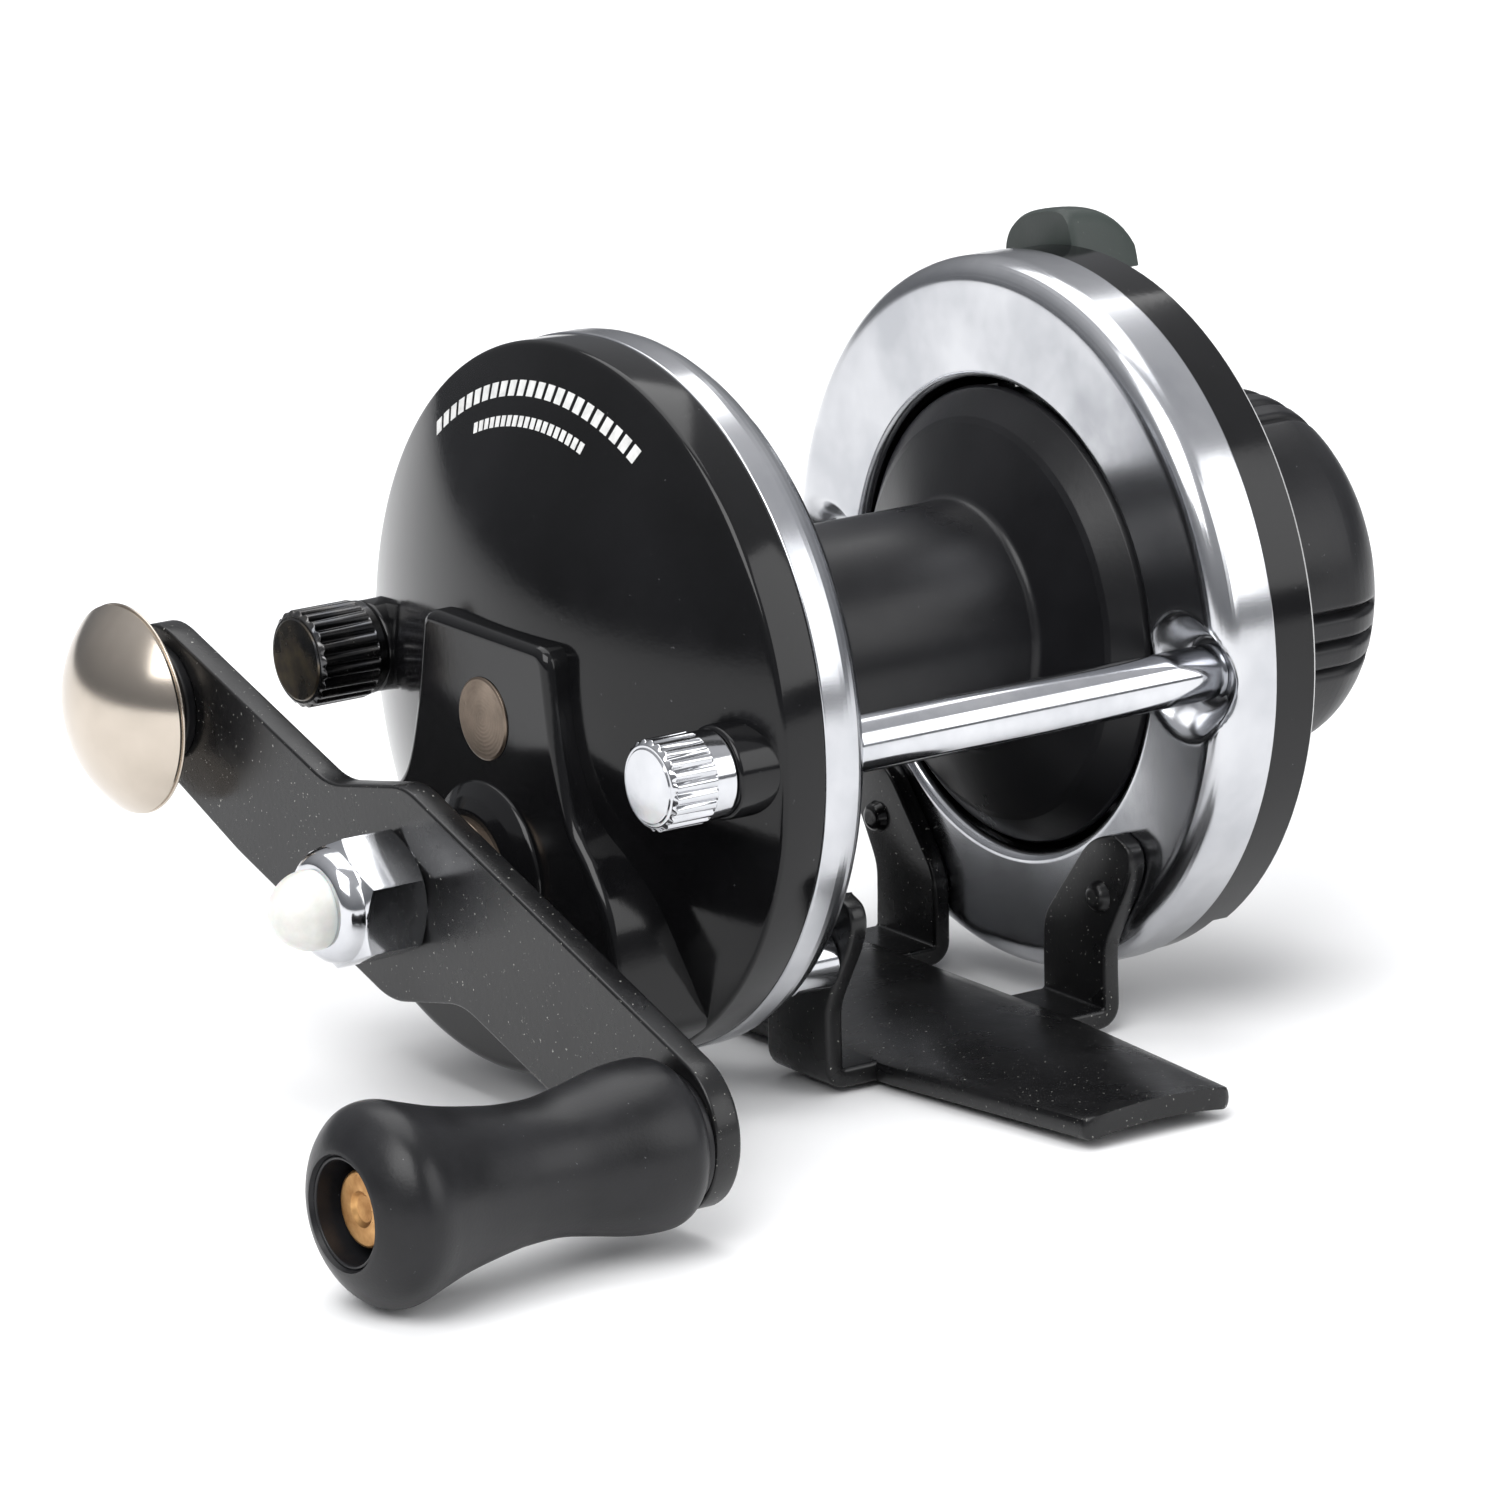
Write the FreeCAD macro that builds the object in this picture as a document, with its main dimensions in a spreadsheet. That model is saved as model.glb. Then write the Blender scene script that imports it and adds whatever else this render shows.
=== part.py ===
import FreeCAD, Part
import math
import os

# A small multiplier fishing reel, in millimetres.
# X runs along the spool axis: the crank side (head) is at -X and the tail side at +X.
# Y runs along the rod and Z points up. The origin is the middle of the foot's underside.

SIZES = {
    # spool axis and crank axis
    "axis_height": 26.6,
    "gear_module": 0.5,
    "drive_teeth": 31,
    "pinion_teeth": 12,
    "crank_drop": 10.75,
    # pressed rings
    "ring_sheet": 0.8,
    "ring_corner": 2.2,
    "opening_radius": 16.6,
    "head_rim_radius": 24.6,
    "head_rim_edge": -20.0,
    "head_ring_face": -15.8,
    "tail_rim_radius": 25.0,
    "tail_rim_edge": 17.2,
    "tail_ring_face": 12.45,
    # pillars and their screws
    "pillar_offset": 20.9,
    "pillar_radius": 1.9,
    "pillar_tail_end": 14.8,
    "dimple_mouth": 4.5,
    "dimple_floor": 2.3,
    "stud_radius": 1.0,
    "stud_clearance": 0.06,
    "stud_depth": 7.0,
    # head plate
    "plate_radius": 24.5,
    "dome_edge": -23.2,
    "dome_height": 6.4,
    "plate_wall": 1.8,
    "ledge_face": -21.6,
    "cavity_radius": 20.2,
    "socket_radius": 22.2,
    "spigot_inner": 23.05,
    "spigot_gap": 0.1,
    "spigot_setback": 1.6,
    # gear housing on the head plate
    "housing_face": -30.6,
    "housing_wall": 1.5,
    "housing_top": 6.2,
    "housing_edge": 0.9,
    "seat_face": -26.5,
    "boss_radius": 6.4,
    "boss_face": -32.1,
    # bridge plate behind the gears
    "bridge_radius": 21.9,
    "bridge_sheet": 1.2,
    "bridge_screw_ring": 18.2,
    "bridge_screw_angle": 35.0,
    # spool and its shaft
    "arbor_radius": 8.7,
    "cone_depth": 2.1,
    "cone_radius": 14.0,
    "flange_radius": 16.1,
    "flange_rim": 0.55,
    "flange_reach": 1.3,
    "flange_bevel": 2.025,
    "shaft_radius": 1.5,
    "shaft_head_end": -29.6,
    "shaft_tail_end": 28.0,
    "bush_radius": 2.85,
    "bush_gap": 0.03,
    "click_radius": 6.0,
    "click_teeth": 24,
    "click_plane": 14.4,
    "click_thickness": 1.2,
    # crank
    "crank_inner": -36.1,
    "crank_thickness": 2.0,
    "crank_shaft_radius": 3.0,
    "thread_radius": 2.5,
    "crank_angle": 19.1,
    "crank_reach": 33.85,
    "crank_half_width": 5.3,
    "crank_nose": 4.45,
    "knob_offset": 2.1,
    "shaft_thread": 3.5,
    "weight_reach": 29.2,
    "weight_offset": 2.4,
    "nut_flats": 8.0,
    "nut_height": 4.8,
    "nut_dome": 1.5,
    "nut_dome_radius": 4.0,
    "cap_radius": 2.7,
    "cap_length": 3.6,
    "weight_radius": 7.35,
    "weight_dome": 3.45,
    "weight_stand": 3.2,
    # handle knob
    "knob_base_radius": 5.65,
    "knob_waist_radius": 4.55,
    "knob_bulb_radius": 6.75,
    "knob_length": 25.2,
    "knob_recess": 3.3,
    "pin_radius": 2.55,
    # thumb nuts
    "nut_knurl_radius": 3.1,
    "knurl_count": 22,
    "knurl_length": 3.5,
    "nut_face": -31.8,
    "rear_nut_radius": 3.4,
    "rear_knurl_length": 4.7,
    "rear_nut_face": -32.1,
    # foot
    "foot_sheet": 1.5,
    "foot_half_length": 34.0,
    "foot_arch_radius": 40.0,
    "foot_crown": 2.4,
    "blade_root_width": 16.8,
    "blade_tip_width": 12.2,
    "blade_root": 14.3,
    "ear_sheet": 1.4,
    "ear_head_face": -12.4,
    "ear_inner_y": 6.3,
    "ear_outer_y": 13.4,
    "rivet_y": 13.0,
    "rivet_drop": 17.0,
    "rivet_radius": 0.8,
    "rivet_head_radius": 1.15,
    "spacer_radius": 2.2,
    # tail plate, lever and tension knob
    "tail_plate_radius": 24.8,
    "tail_plate_face": 20.9,
    "tail_web": 2.3,
    "lever_boss_radius": 9.0,
    "lever_sheet": 1.4,
    "lever_tab_depth": 5.6,
    "neck_radius": 6.0,
    "neck_end": 30.0,
    "tension_radius": 12.9,
    "tension_start": 22.8,
    "tension_end": 37.6,
    "tension_corner": 4.5,
    "running_gap": 0.06,
}

doc = FreeCAD.newDocument("reel")
sheet = doc.addObject("Spreadsheet::Sheet", "Sizes")


def fill_sheet():
    """Write every driving dimension into the sheet, one named cell per row."""
    for row, (name, value) in enumerate(SIZES.items(), start=1):
        sheet.set("A%d" % row, name)
        sheet.set("B%d" % row, str(value))
        sheet.setAlias("B%d" % row, name)
    doc.recompute()


class Size:
    """A length or count with its value and the sheet expression that gives it."""

    def __init__(self, value, text):
        self.value = value
        self.text = text

    def join(self, other, sign, value):
        other_text = other.text if isinstance(other, Size) else repr(float(other))
        return Size(value, "(%s %s %s)" % (self.text, sign, other_text))

    def __add__(self, other):
        return self.join(other, "+", self.value + number(other))

    def __sub__(self, other):
        return self.join(other, "-", self.value - number(other))

    def __mul__(self, other):
        return self.join(other, "*", self.value * number(other))

    def __truediv__(self, other):
        return self.join(other, "/", self.value / number(other))

    def __neg__(self):
        return Size(-self.value, "(0 - %s)" % self.text)


def number(value):
    return value.value if isinstance(value, Size) else float(value)


def dim(name):
    """The driving dimension of this name, as written in the sheet."""
    return Size(float(sheet.get(name)), "Sizes." + name)


def fixed(value):
    return Size(float(value), repr(float(value)))


def bind(thing, prop, size):
    """Give a property its value and tie it to the sheet."""
    if not isinstance(size, Size):
        size = fixed(size)
    if "." not in prop:
        setattr(thing, prop, size.value)
    thing.setExpression(prop, size.text)


def place(thing, x=0.0, y=0.0, z=0.0, axis=None, angle=0.0):
    """Put a finished object in the reel; each coordinate may be a Size."""
    turn = FreeCAD.Rotation(FreeCAD.Vector(*axis), angle) if axis else FreeCAD.Rotation()
    spot = FreeCAD.Vector(number(x), number(y), number(z))
    thing.Placement = FreeCAD.Placement(spot, turn)
    for letter, value in (("x", x), ("y", y), ("z", z)):
        if isinstance(value, Size):
            thing.setExpression("Placement.Base." + letter, value.text)


# ---------------------------------------------------------------- PartDesign helpers

def new_body(name, x=0.0, y=0.0, z=0.0, axis=None, angle=0.0):
    body = doc.addObject("PartDesign::Body", name)
    body.Label = name
    place(body, x, y, z, axis, angle)
    return body


def new_sketch(body, name, role, offset=None):
    """A sketch on one of the body's origin planes, moved along that plane's normal."""
    sketch = body.newObject("Sketcher::SketchObject", name)
    plane = [item for item in body.Origin.OriginFeatures if item.Role == role][0]
    sketch.AttachmentSupport = [(plane, "")]
    sketch.MapMode = "FlatFace"
    if offset is not None:
        sketch.AttachmentOffset = FreeCAD.Placement(FreeCAD.Vector(0, 0, number(offset)), FreeCAD.Rotation())
        if isinstance(offset, Size):
            sketch.setExpression("AttachmentOffset.Base.z", offset.text)
    return sketch


def pin_point(sketch, geometry, end, x, y):
    """Tie one end of a line to its sheet coordinates."""
    import Sketcher
    for kind, axis_id, value in (("DistanceX", -2, x), ("DistanceY", -1, y)):
        if abs(number(value)) < 1e-9:
            sketch.addConstraint(Sketcher.Constraint("PointOnObject", geometry, end, axis_id))
            continue
        row = sketch.addConstraint(Sketcher.Constraint(kind, -1, 1, geometry, end, number(value)))
        if isinstance(value, Size):
            sketch.setExpression("Constraints[%d]" % row, value.text)


def draw_outline(sketch, points):
    """A closed outline of straight lines through points whose coordinates may be Sizes."""
    import Sketcher
    flat = [FreeCAD.Vector(number(x), number(y), 0) for x, y in points]
    count = len(points)
    first = sketch.GeometryCount
    for index in range(count):
        line = Part.LineSegment(flat[index], flat[(index + 1) % count])
        sketch.addGeometry(line, False)
    for index in range(count):
        following = first + (index + 1) % count
        sketch.addConstraint(Sketcher.Constraint("Coincident", first + index, 2, following, 1))
    for index, (x, y) in enumerate(points):
        pin_point(sketch, first + index, 1, x, y)


def draw_circle(sketch, x, y, radius):
    import Sketcher
    centre = FreeCAD.Vector(number(x), number(y), 0)
    index = sketch.addGeometry(Part.Circle(centre, FreeCAD.Vector(0, 0, 1), number(radius)), False)
    pin_point(sketch, index, 3, x, y)
    row = sketch.addConstraint(Sketcher.Constraint("Radius", index, number(radius)))
    if isinstance(radius, Size):
        sketch.setExpression("Constraints[%d]" % row, radius.text)


def revolve(body, name, points):
    """Turn an outline of (position along X, radius) about the body's X axis."""
    sketch = new_sketch(body, name + "_profile", "XY_Plane")
    draw_outline(sketch, points)
    feature = body.newObject("PartDesign::Revolution", name)
    feature.Profile = sketch
    feature.ReferenceAxis = (sketch, ["H_Axis"])
    feature.Angle = 360.0
    doc.recompute()
    return feature


def groove(body, name, points):
    """Cut the revolved outline out of the body."""
    sketch = new_sketch(body, name + "_profile", "XY_Plane")
    draw_outline(sketch, points)
    before = body.Shape.Volume
    feature = body.newObject("PartDesign::Groove", name)
    feature.Profile = sketch
    feature.ReferenceAxis = (sketch, ["H_Axis"])
    feature.Angle = 360.0
    doc.recompute()
    require(body.Shape.Volume < before - 1e-3, name + " cuts nothing")
    return feature


def pad(body, name, start, length, outline=None, circles=()):
    """Raise an outline in the YZ plane along +X from start."""
    sketch = new_sketch(body, name + "_sketch", "YZ_Plane", start)
    if outline:
        draw_outline(sketch, outline)
    for y, z, radius in circles:
        draw_circle(sketch, y, z, radius)
    feature = body.newObject("PartDesign::Pad", name)
    feature.Profile = sketch
    bind(feature, "Length", length)
    doc.recompute()
    return feature


def pocket(body, name, start, length, outline=None, circles=()):
    """Cut an outline in the YZ plane along +X from start."""
    sketch = new_sketch(body, name + "_sketch", "YZ_Plane", start)
    if outline:
        draw_outline(sketch, outline)
    for y, z, radius in circles:
        draw_circle(sketch, y, z, radius)
    before = body.Shape.Volume
    feature = body.newObject("PartDesign::Pocket", name)
    feature.Profile = sketch
    bind(feature, "Length", length)
    feature.Reversed = True
    doc.recompute()
    require(body.Shape.Volume < before - 1e-3, name + " cuts nothing")
    return feature


def polar(body, name, feature, count):
    """Repeat a feature evenly round the body's X axis."""
    pattern = body.newObject("PartDesign::PolarPattern", name)
    pattern.Originals = [feature]
    line = [item for item in body.Origin.OriginFeatures if item.Role == "X_Axis"][0]
    pattern.Axis = (line, [""])
    pattern.Angle = 360.0
    pattern.Occurrences = int(round(number(count)))
    pattern.setExpression("Occurrences", count.text)
    body.Tip = pattern
    doc.recompute()
    return pattern


def edges_where(shape, test):
    """Names of the edges whose middle point, and the edge itself, pass the test."""
    names = []
    for index, edge in enumerate(shape.Edges, start=1):
        middle = edge.valueAt((edge.FirstParameter + edge.LastParameter) / 2)
        if test(edge, middle):
            names.append("Edge%d" % index)
    return names


def round_edges(body, name, radius, test):
    """Fillet the edges of the body's tip that pass the test."""
    base = body.Tip
    names = edges_where(base.Shape, test)
    require(names, name + " finds no edge")
    feature = body.newObject("PartDesign::Fillet", name)
    feature.Base = (base, names)
    bind(feature, "Radius", radius)
    doc.recompute()
    return feature


def ring_edge(x, radius):
    """A test for the full circle at x with this radius about the body's X axis."""
    def test(edge, middle):
        if not isinstance(edge.Curve, Part.Circle):
            return False
        same_place = abs(edge.Curve.Center.x - number(x)) < 0.02
        return same_place and abs(edge.Curve.Radius - number(radius)) < 0.02
    return test


# ---------------------------------------------------------------- Part helpers

def rod(name, start, length, radius, y=0.0, z=0.0):
    """A cylinder along +X from start."""
    cylinder = doc.addObject("Part::Cylinder", name)
    bind(cylinder, "Radius", radius)
    bind(cylinder, "Height", length)
    place(cylinder, start, y, z, (0, 1, 0), 90)
    return cylinder


def block(name, x, y, z, length, width, height):
    box = doc.addObject("Part::Box", name)
    bind(box, "Length", length)
    bind(box, "Width", width)
    bind(box, "Height", height)
    place(box, x, y, z)
    return box


def fuse(name, parts):
    union = doc.addObject("Part::MultiFuse", name)
    union.Shapes = parts
    doc.recompute()
    return union


def common(name, parts):
    both = doc.addObject("Part::MultiCommon", name)
    both.Shapes = parts
    doc.recompute()
    return both


def cut(name, base, tools):
    """The base without the tools; the volume must shrink."""
    tool = tools[0] if len(tools) == 1 else fuse(name + "_tools", tools)
    result = doc.addObject("Part::Cut", name)
    result.Base = base
    result.Tool = tool
    doc.recompute()
    require(result.Shape.Volume < base.Shape.Volume - 1e-3, name + " cuts nothing")
    return result


def group(name, members):
    """Separate identical solids that share one node."""
    compound = doc.addObject("Part::Compound", name)
    compound.Links = members
    compound.Label = name
    doc.recompute()
    return compound


def require(condition, message):
    if not condition:
        raise RuntimeError(message)


# ---------------------------------------------------------------- frame of the reel

def make_ring(name, rim_edge, face, radius, side):
    """A pressed ring: a rim cylinder, a rounded corner and a flat face with the spool opening.
    side is +1 where the flat face lies at the rim's +X end and -1 at its -X end."""
    sheet_step = dim("ring_sheet") * side
    body = new_body(name, 0.0, 0.0, dim("axis_height"))
    inner = radius - dim("ring_sheet")
    outline = [
        (rim_edge, inner),
        (rim_edge, radius),
        (face, radius),
        (face, dim("opening_radius")),
        (face - sheet_step, dim("opening_radius")),
        (face - sheet_step, inner),
    ]
    revolve(body, name + "_turn", outline)
    corner = dim("ring_corner")
    round_edges(body, name + "_corner", corner, ring_edge(face, radius))
    inside = corner - dim("ring_sheet")
    round_edges(body, name + "_inside", inside, ring_edge(face - sheet_step, inner))
    holes = []
    for sign in (-1, 1):
        holes.append((dim("rivet_y") * sign, -dim("rivet_drop"), dim("rivet_radius")))
        if side > 0:
            holes.append((dim("pillar_offset") * sign, 0.0, dim("stud_radius") + 0.25))
    first = face - 1.5 if side > 0 else face - 0.5
    pocket(body, name + "_holes", first, fixed(2.0), circles=holes)
    return body


def make_tail_ring():
    """The tail ring with a round dimple pressed into its face for the end of each pillar."""
    face = dim("tail_ring_face")
    radius = dim("tail_rim_radius")
    floor = dim("pillar_tail_end")
    sheet_size = dim("ring_sheet")
    ring = make_ring("tail_ring_blank", dim("tail_rim_edge"), face, radius, -1)
    envelope = new_body("tail_ring_envelope", 0.0, 0.0, dim("axis_height"))
    outline = [(face, 0.0), (face, radius), (dim("tail_rim_edge"), radius), (dim("tail_rim_edge"), 0.0)]
    revolve(envelope, "tail_ring_envelope_turn", outline)
    round_edges(envelope, "tail_ring_envelope_corner", dim("ring_corner"), ring_edge(face, radius))
    cups = []
    cores = []
    for sign, side in ((-1, "front"), (1, "rear")):
        y = dim("pillar_offset") * sign
        cup = new_body("tail_cup_" + side, 0.0, y, dim("axis_height"))
        mouth = dim("dimple_mouth")
        base = dim("dimple_floor")
        profile = [(face, 0.0), (face, mouth + sheet_size), (floor + sheet_size, base + sheet_size),
                   (floor + sheet_size, 0.0)]
        revolve(cup, "tail_cup_turn_" + side, profile)
        cups.append(common("tail_cup_trimmed_" + side, [cup, envelope]))
        core = new_body("tail_core_" + side, 0.0, y, dim("axis_height"))
        slope = (mouth - base) / (floor - face)
        profile = [(face - 1.0, 0.0), (face - 1.0, mouth + slope), (floor, base), (floor, 0.0)]
        revolve(core, "tail_core_turn_" + side, profile)
        cores.append(core)
        cores.append(rod("tail_stud_way_" + side, face, fixed(6.0), dim("stud_radius") + 0.25, y,
                         dim("axis_height")))
    tail_ring = cut("tail_ring", fuse("tail_ring_cupped", [ring] + cups), cores)
    tail_ring.Label = "tail_ring"


def make_pillar(name, sign):
    """A polished rod between the rings with a tapped hole in each end."""
    start = dim("head_ring_face")
    end = dim("pillar_tail_end")
    body = new_body(name, 0.0, dim("pillar_offset") * sign, dim("axis_height"))
    pad(body, name + "_rod", start, end - start, circles=[(0.0, 0.0, dim("pillar_radius"))])
    bore = dim("stud_radius") + dim("stud_clearance")
    pocket(body, name + "_head_bore", start, dim("stud_depth") + 0.5, circles=[(0.0, 0.0, bore)])
    pocket(body, name + "_tail_bore", end - dim("stud_depth"), dim("stud_depth"), circles=[(0.0, 0.0, bore)])
    return body


def make_tail_screws():
    """Two countersunk screws that hold the tail plate to the pillars."""
    members = []
    for sign, side in ((-1, "front"), (1, "rear")):
        body = new_body("tail_screw_" + side, 0.0, dim("pillar_offset") * sign, dim("axis_height"))
        face = dim("tail_plate_face")
        tip = dim("pillar_tail_end") - dim("stud_depth") + 1.0
        outline = [
            (tip, 0.0),
            (tip, dim("stud_radius")),
            (face - 1.3, dim("stud_radius")),
            (face - 1.3, dim("stud_radius") * 2),
            (face - 0.2, dim("stud_radius") * 2),
            (face - 0.2, 0.0),
        ]
        revolve(body, "tail_screw_turn_" + side, outline)
        slot = [(-3.0, -0.25), (3.0, -0.25), (3.0, 0.25), (-3.0, 0.25)]
        pocket(body, "tail_screw_slot_" + side, face - 0.7, fixed(1.0), slot)
        members.append(body)
    group("tail_screws", members)


def foot_outline():
    """Half of the blade's outline in XY, from the middle of the foot to one tip."""
    root = dim("blade_root_width") / 2
    tip = dim("blade_tip_width") / 2
    half = dim("foot_half_length")
    start = dim("blade_root")
    return [(-root, -start), (-tip, -half), (tip, -half), (root, -start),
            (root, start), (tip, half), (-tip, half), (-root, start)]


def make_foot():
    """The pressed steel foot: an arched blade along Y and four ears that rise to the rings."""
    radius = dim("foot_arch_radius")
    outer = doc.addObject("Part::Cylinder", "foot_arch_outer")
    inner = doc.addObject("Part::Cylinder", "foot_arch_inner")
    for cylinder, size in ((outer, radius), (inner, radius - dim("foot_sheet"))):
        bind(cylinder, "Radius", size)
        bind(cylinder, "Height", dim("foot_half_length") * 2 + 4)
        place(cylinder, 0.0, dim("foot_half_length") + 2, dim("foot_crown") - radius, (1, 0, 0), 90)
    arch = cut("foot_arch", outer, [inner])
    blade_body = new_body("foot_blade_outline")
    sketch = new_sketch(blade_body, "foot_blade_sketch", "XY_Plane", fixed(-1.0))
    draw_outline(sketch, foot_outline())
    blade_pad = blade_body.newObject("PartDesign::Pad", "foot_blade_pad")
    blade_pad.Profile = sketch
    blade_pad.Length = 5.0
    doc.recompute()
    blade = common("foot_blade", [arch, blade_body])
    parts = [blade]
    for side, face, sign in (("head", dim("ear_head_face"), 1), ("tail", dim("tail_ring_face"), -1)):
        for way in (-1, 1):
            place_name = "front" if way < 0 else "rear"
            parts.append(make_ear("foot_ear_%s_%s" % (side, place_name), face, sign, way))
    foot = fuse("foot", parts)
    foot.Label = "foot"


def make_ear(name, face, sign, way):
    """One ear. face is its outer plane, sign the way from there to the middle of the foot,
    and way is -1 for an ear towards -Y."""
    body = new_body(name)
    wide = dim("ear_sheet")
    start = face if sign > 0 else face - wide
    inner_y = dim("ear_inner_y") * way
    outer_y = dim("ear_outer_y") * way
    rivet_y = dim("rivet_y")
    rivet_z = dim("axis_height") - dim("rivet_drop")
    outline = [
        (inner_y, fixed(0.1)),
        (inner_y, rivet_z - 3.6),
        ((rivet_y - 2.6) * way, rivet_z + 2.7),
        ((rivet_y + 0.4) * way, rivet_z + 4.2),
        ((rivet_y + 3.4) * way, rivet_z + 3.8),
        ((rivet_y + 3.3) * way, rivet_z + 0.6),
        (outer_y, rivet_z - 3.4),
        (outer_y, fixed(0.1)),
    ]
    pad(body, name + "_blank", start, wide, outline)
    crown = [outline[2], outline[3], outline[4], outline[5]]

    def rounded(edge, middle):
        if not isinstance(edge.Curve, Part.Line) or abs(edge.Curve.Direction.x) < 0.99:
            return False
        return any(math.hypot(middle.y - number(y), middle.z - number(z)) < 0.05 for y, z in crown)

    round_edges(body, name + "_round", fixed(1.4), rounded)
    hole = [(rivet_y * way, rivet_z, dim("rivet_radius"))]
    pocket(body, name + "_hole", start - 0.5, wide + 1.0, circles=hole)
    reach = fixed(5.2)
    tab_start = start if sign > 0 else start + wide - reach
    tab = [(inner_y, fixed(0.1)), (outer_y, fixed(0.1)), (outer_y, dim("foot_sheet") + 0.1),
           (inner_y, dim("foot_sheet") + 0.1)]
    pad(body, name + "_tab", tab_start, reach, tab)

    def fold(edge, middle):
        if not isinstance(edge.Curve, Part.Line) or abs(edge.Curve.Direction.y) < 0.99:
            return False
        return abs(middle.x - number(face)) < 0.02 and abs(middle.z - 0.1) < 0.02

    round_edges(body, name + "_fold", fixed(1.2), fold)
    return body


def make_foot_rivets():
    """Four rivets: a domed head on the ear, a shank, and an upset end behind the ring."""
    members = []
    sheet_size = dim("ring_sheet")
    head_radius = dim("rivet_head_radius")
    shank = dim("rivet_radius")
    for side in ("head", "tail"):
        sign = 1 if side == "head" else -1
        ear_face = dim("tail_ring_face") - dim("ear_sheet")
        ring_back = dim("tail_ring_face") + sheet_size
        if side == "head":
            ear_face = dim("ear_head_face") + dim("ear_sheet")
            ring_back = dim("head_ring_face") - sheet_size
        for way in (-1, 1):
            name = "foot_rivet_%s_%s" % (side, "front" if way < 0 else "rear")
            body = new_body(name, 0.0, dim("rivet_y") * way, dim("axis_height") - dim("rivet_drop"))
            outline = [
                (ear_face + 0.75 * sign, 0.0),
                (ear_face + 0.65 * sign, head_radius * 0.55),
                (ear_face + 0.3 * sign, head_radius * 0.9),
                (ear_face, head_radius),
                (ear_face, shank),
                (ring_back, shank),
                (ring_back, head_radius),
                (ring_back - 0.7 * sign, head_radius * 0.8),
                (ring_back - 0.7 * sign, 0.0),
            ]
            revolve(body, name + "_turn", outline)
            members.append(body)
    group("foot_rivets", members)


def make_foot_spacers():
    """Two sleeves that carry the head-side ears clear of the head ring."""
    members = []
    start = dim("head_ring_face")
    for way, side in ((-1, "front"), (1, "rear")):
        height = dim("axis_height") - dim("rivet_drop")
        body = new_body("foot_spacer_" + side, 0.0, dim("rivet_y") * way, height)
        circles = [(0.0, 0.0, dim("spacer_radius")), (0.0, 0.0, dim("rivet_radius"))]
        pad(body, "foot_spacer_sleeve_" + side, start, dim("ear_head_face") - start, circles=circles)
        members.append(body)
    group("foot_spacers", members)


# ---------------------------------------------------------------- head side

def housing_outline(inset):
    """The gear housing seen along X: narrow at the top, flaring towards the rim.
    Heights are measured from the spool axis; inset moves every side inwards."""
    top = dim("housing_top") - inset
    half = [(6.5, top), (7.7, fixed(4.8)), (8.6, fixed(-0.7)), (10.0, fixed(-5.0)), (12.0, fixed(-7.3)),
            (13.6, fixed(-10.0)), (15.0, fixed(-21.0))]
    right = [(fixed(width) - inset, height) for width, height in half]
    left = [(-width, height) for width, height in reversed(right)]
    return right + left


def dome(name, edge, radius, height, margin):
    """The cap of a sphere whose rim circle has this radius at x = edge and which rises towards -X."""
    ball = doc.addObject("Part::Sphere", name)
    ball_radius = (radius * radius + height * height) / (height * 2)
    bind(ball, "Radius", ball_radius)
    place(ball, edge - height + ball_radius, 0.0, dim("axis_height"))
    limit = rod(name + "_limit", edge - height - 1, height + 1 + margin, radius, 0.0, dim("axis_height"))
    return common(name + "_cap", [ball, limit])


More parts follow.
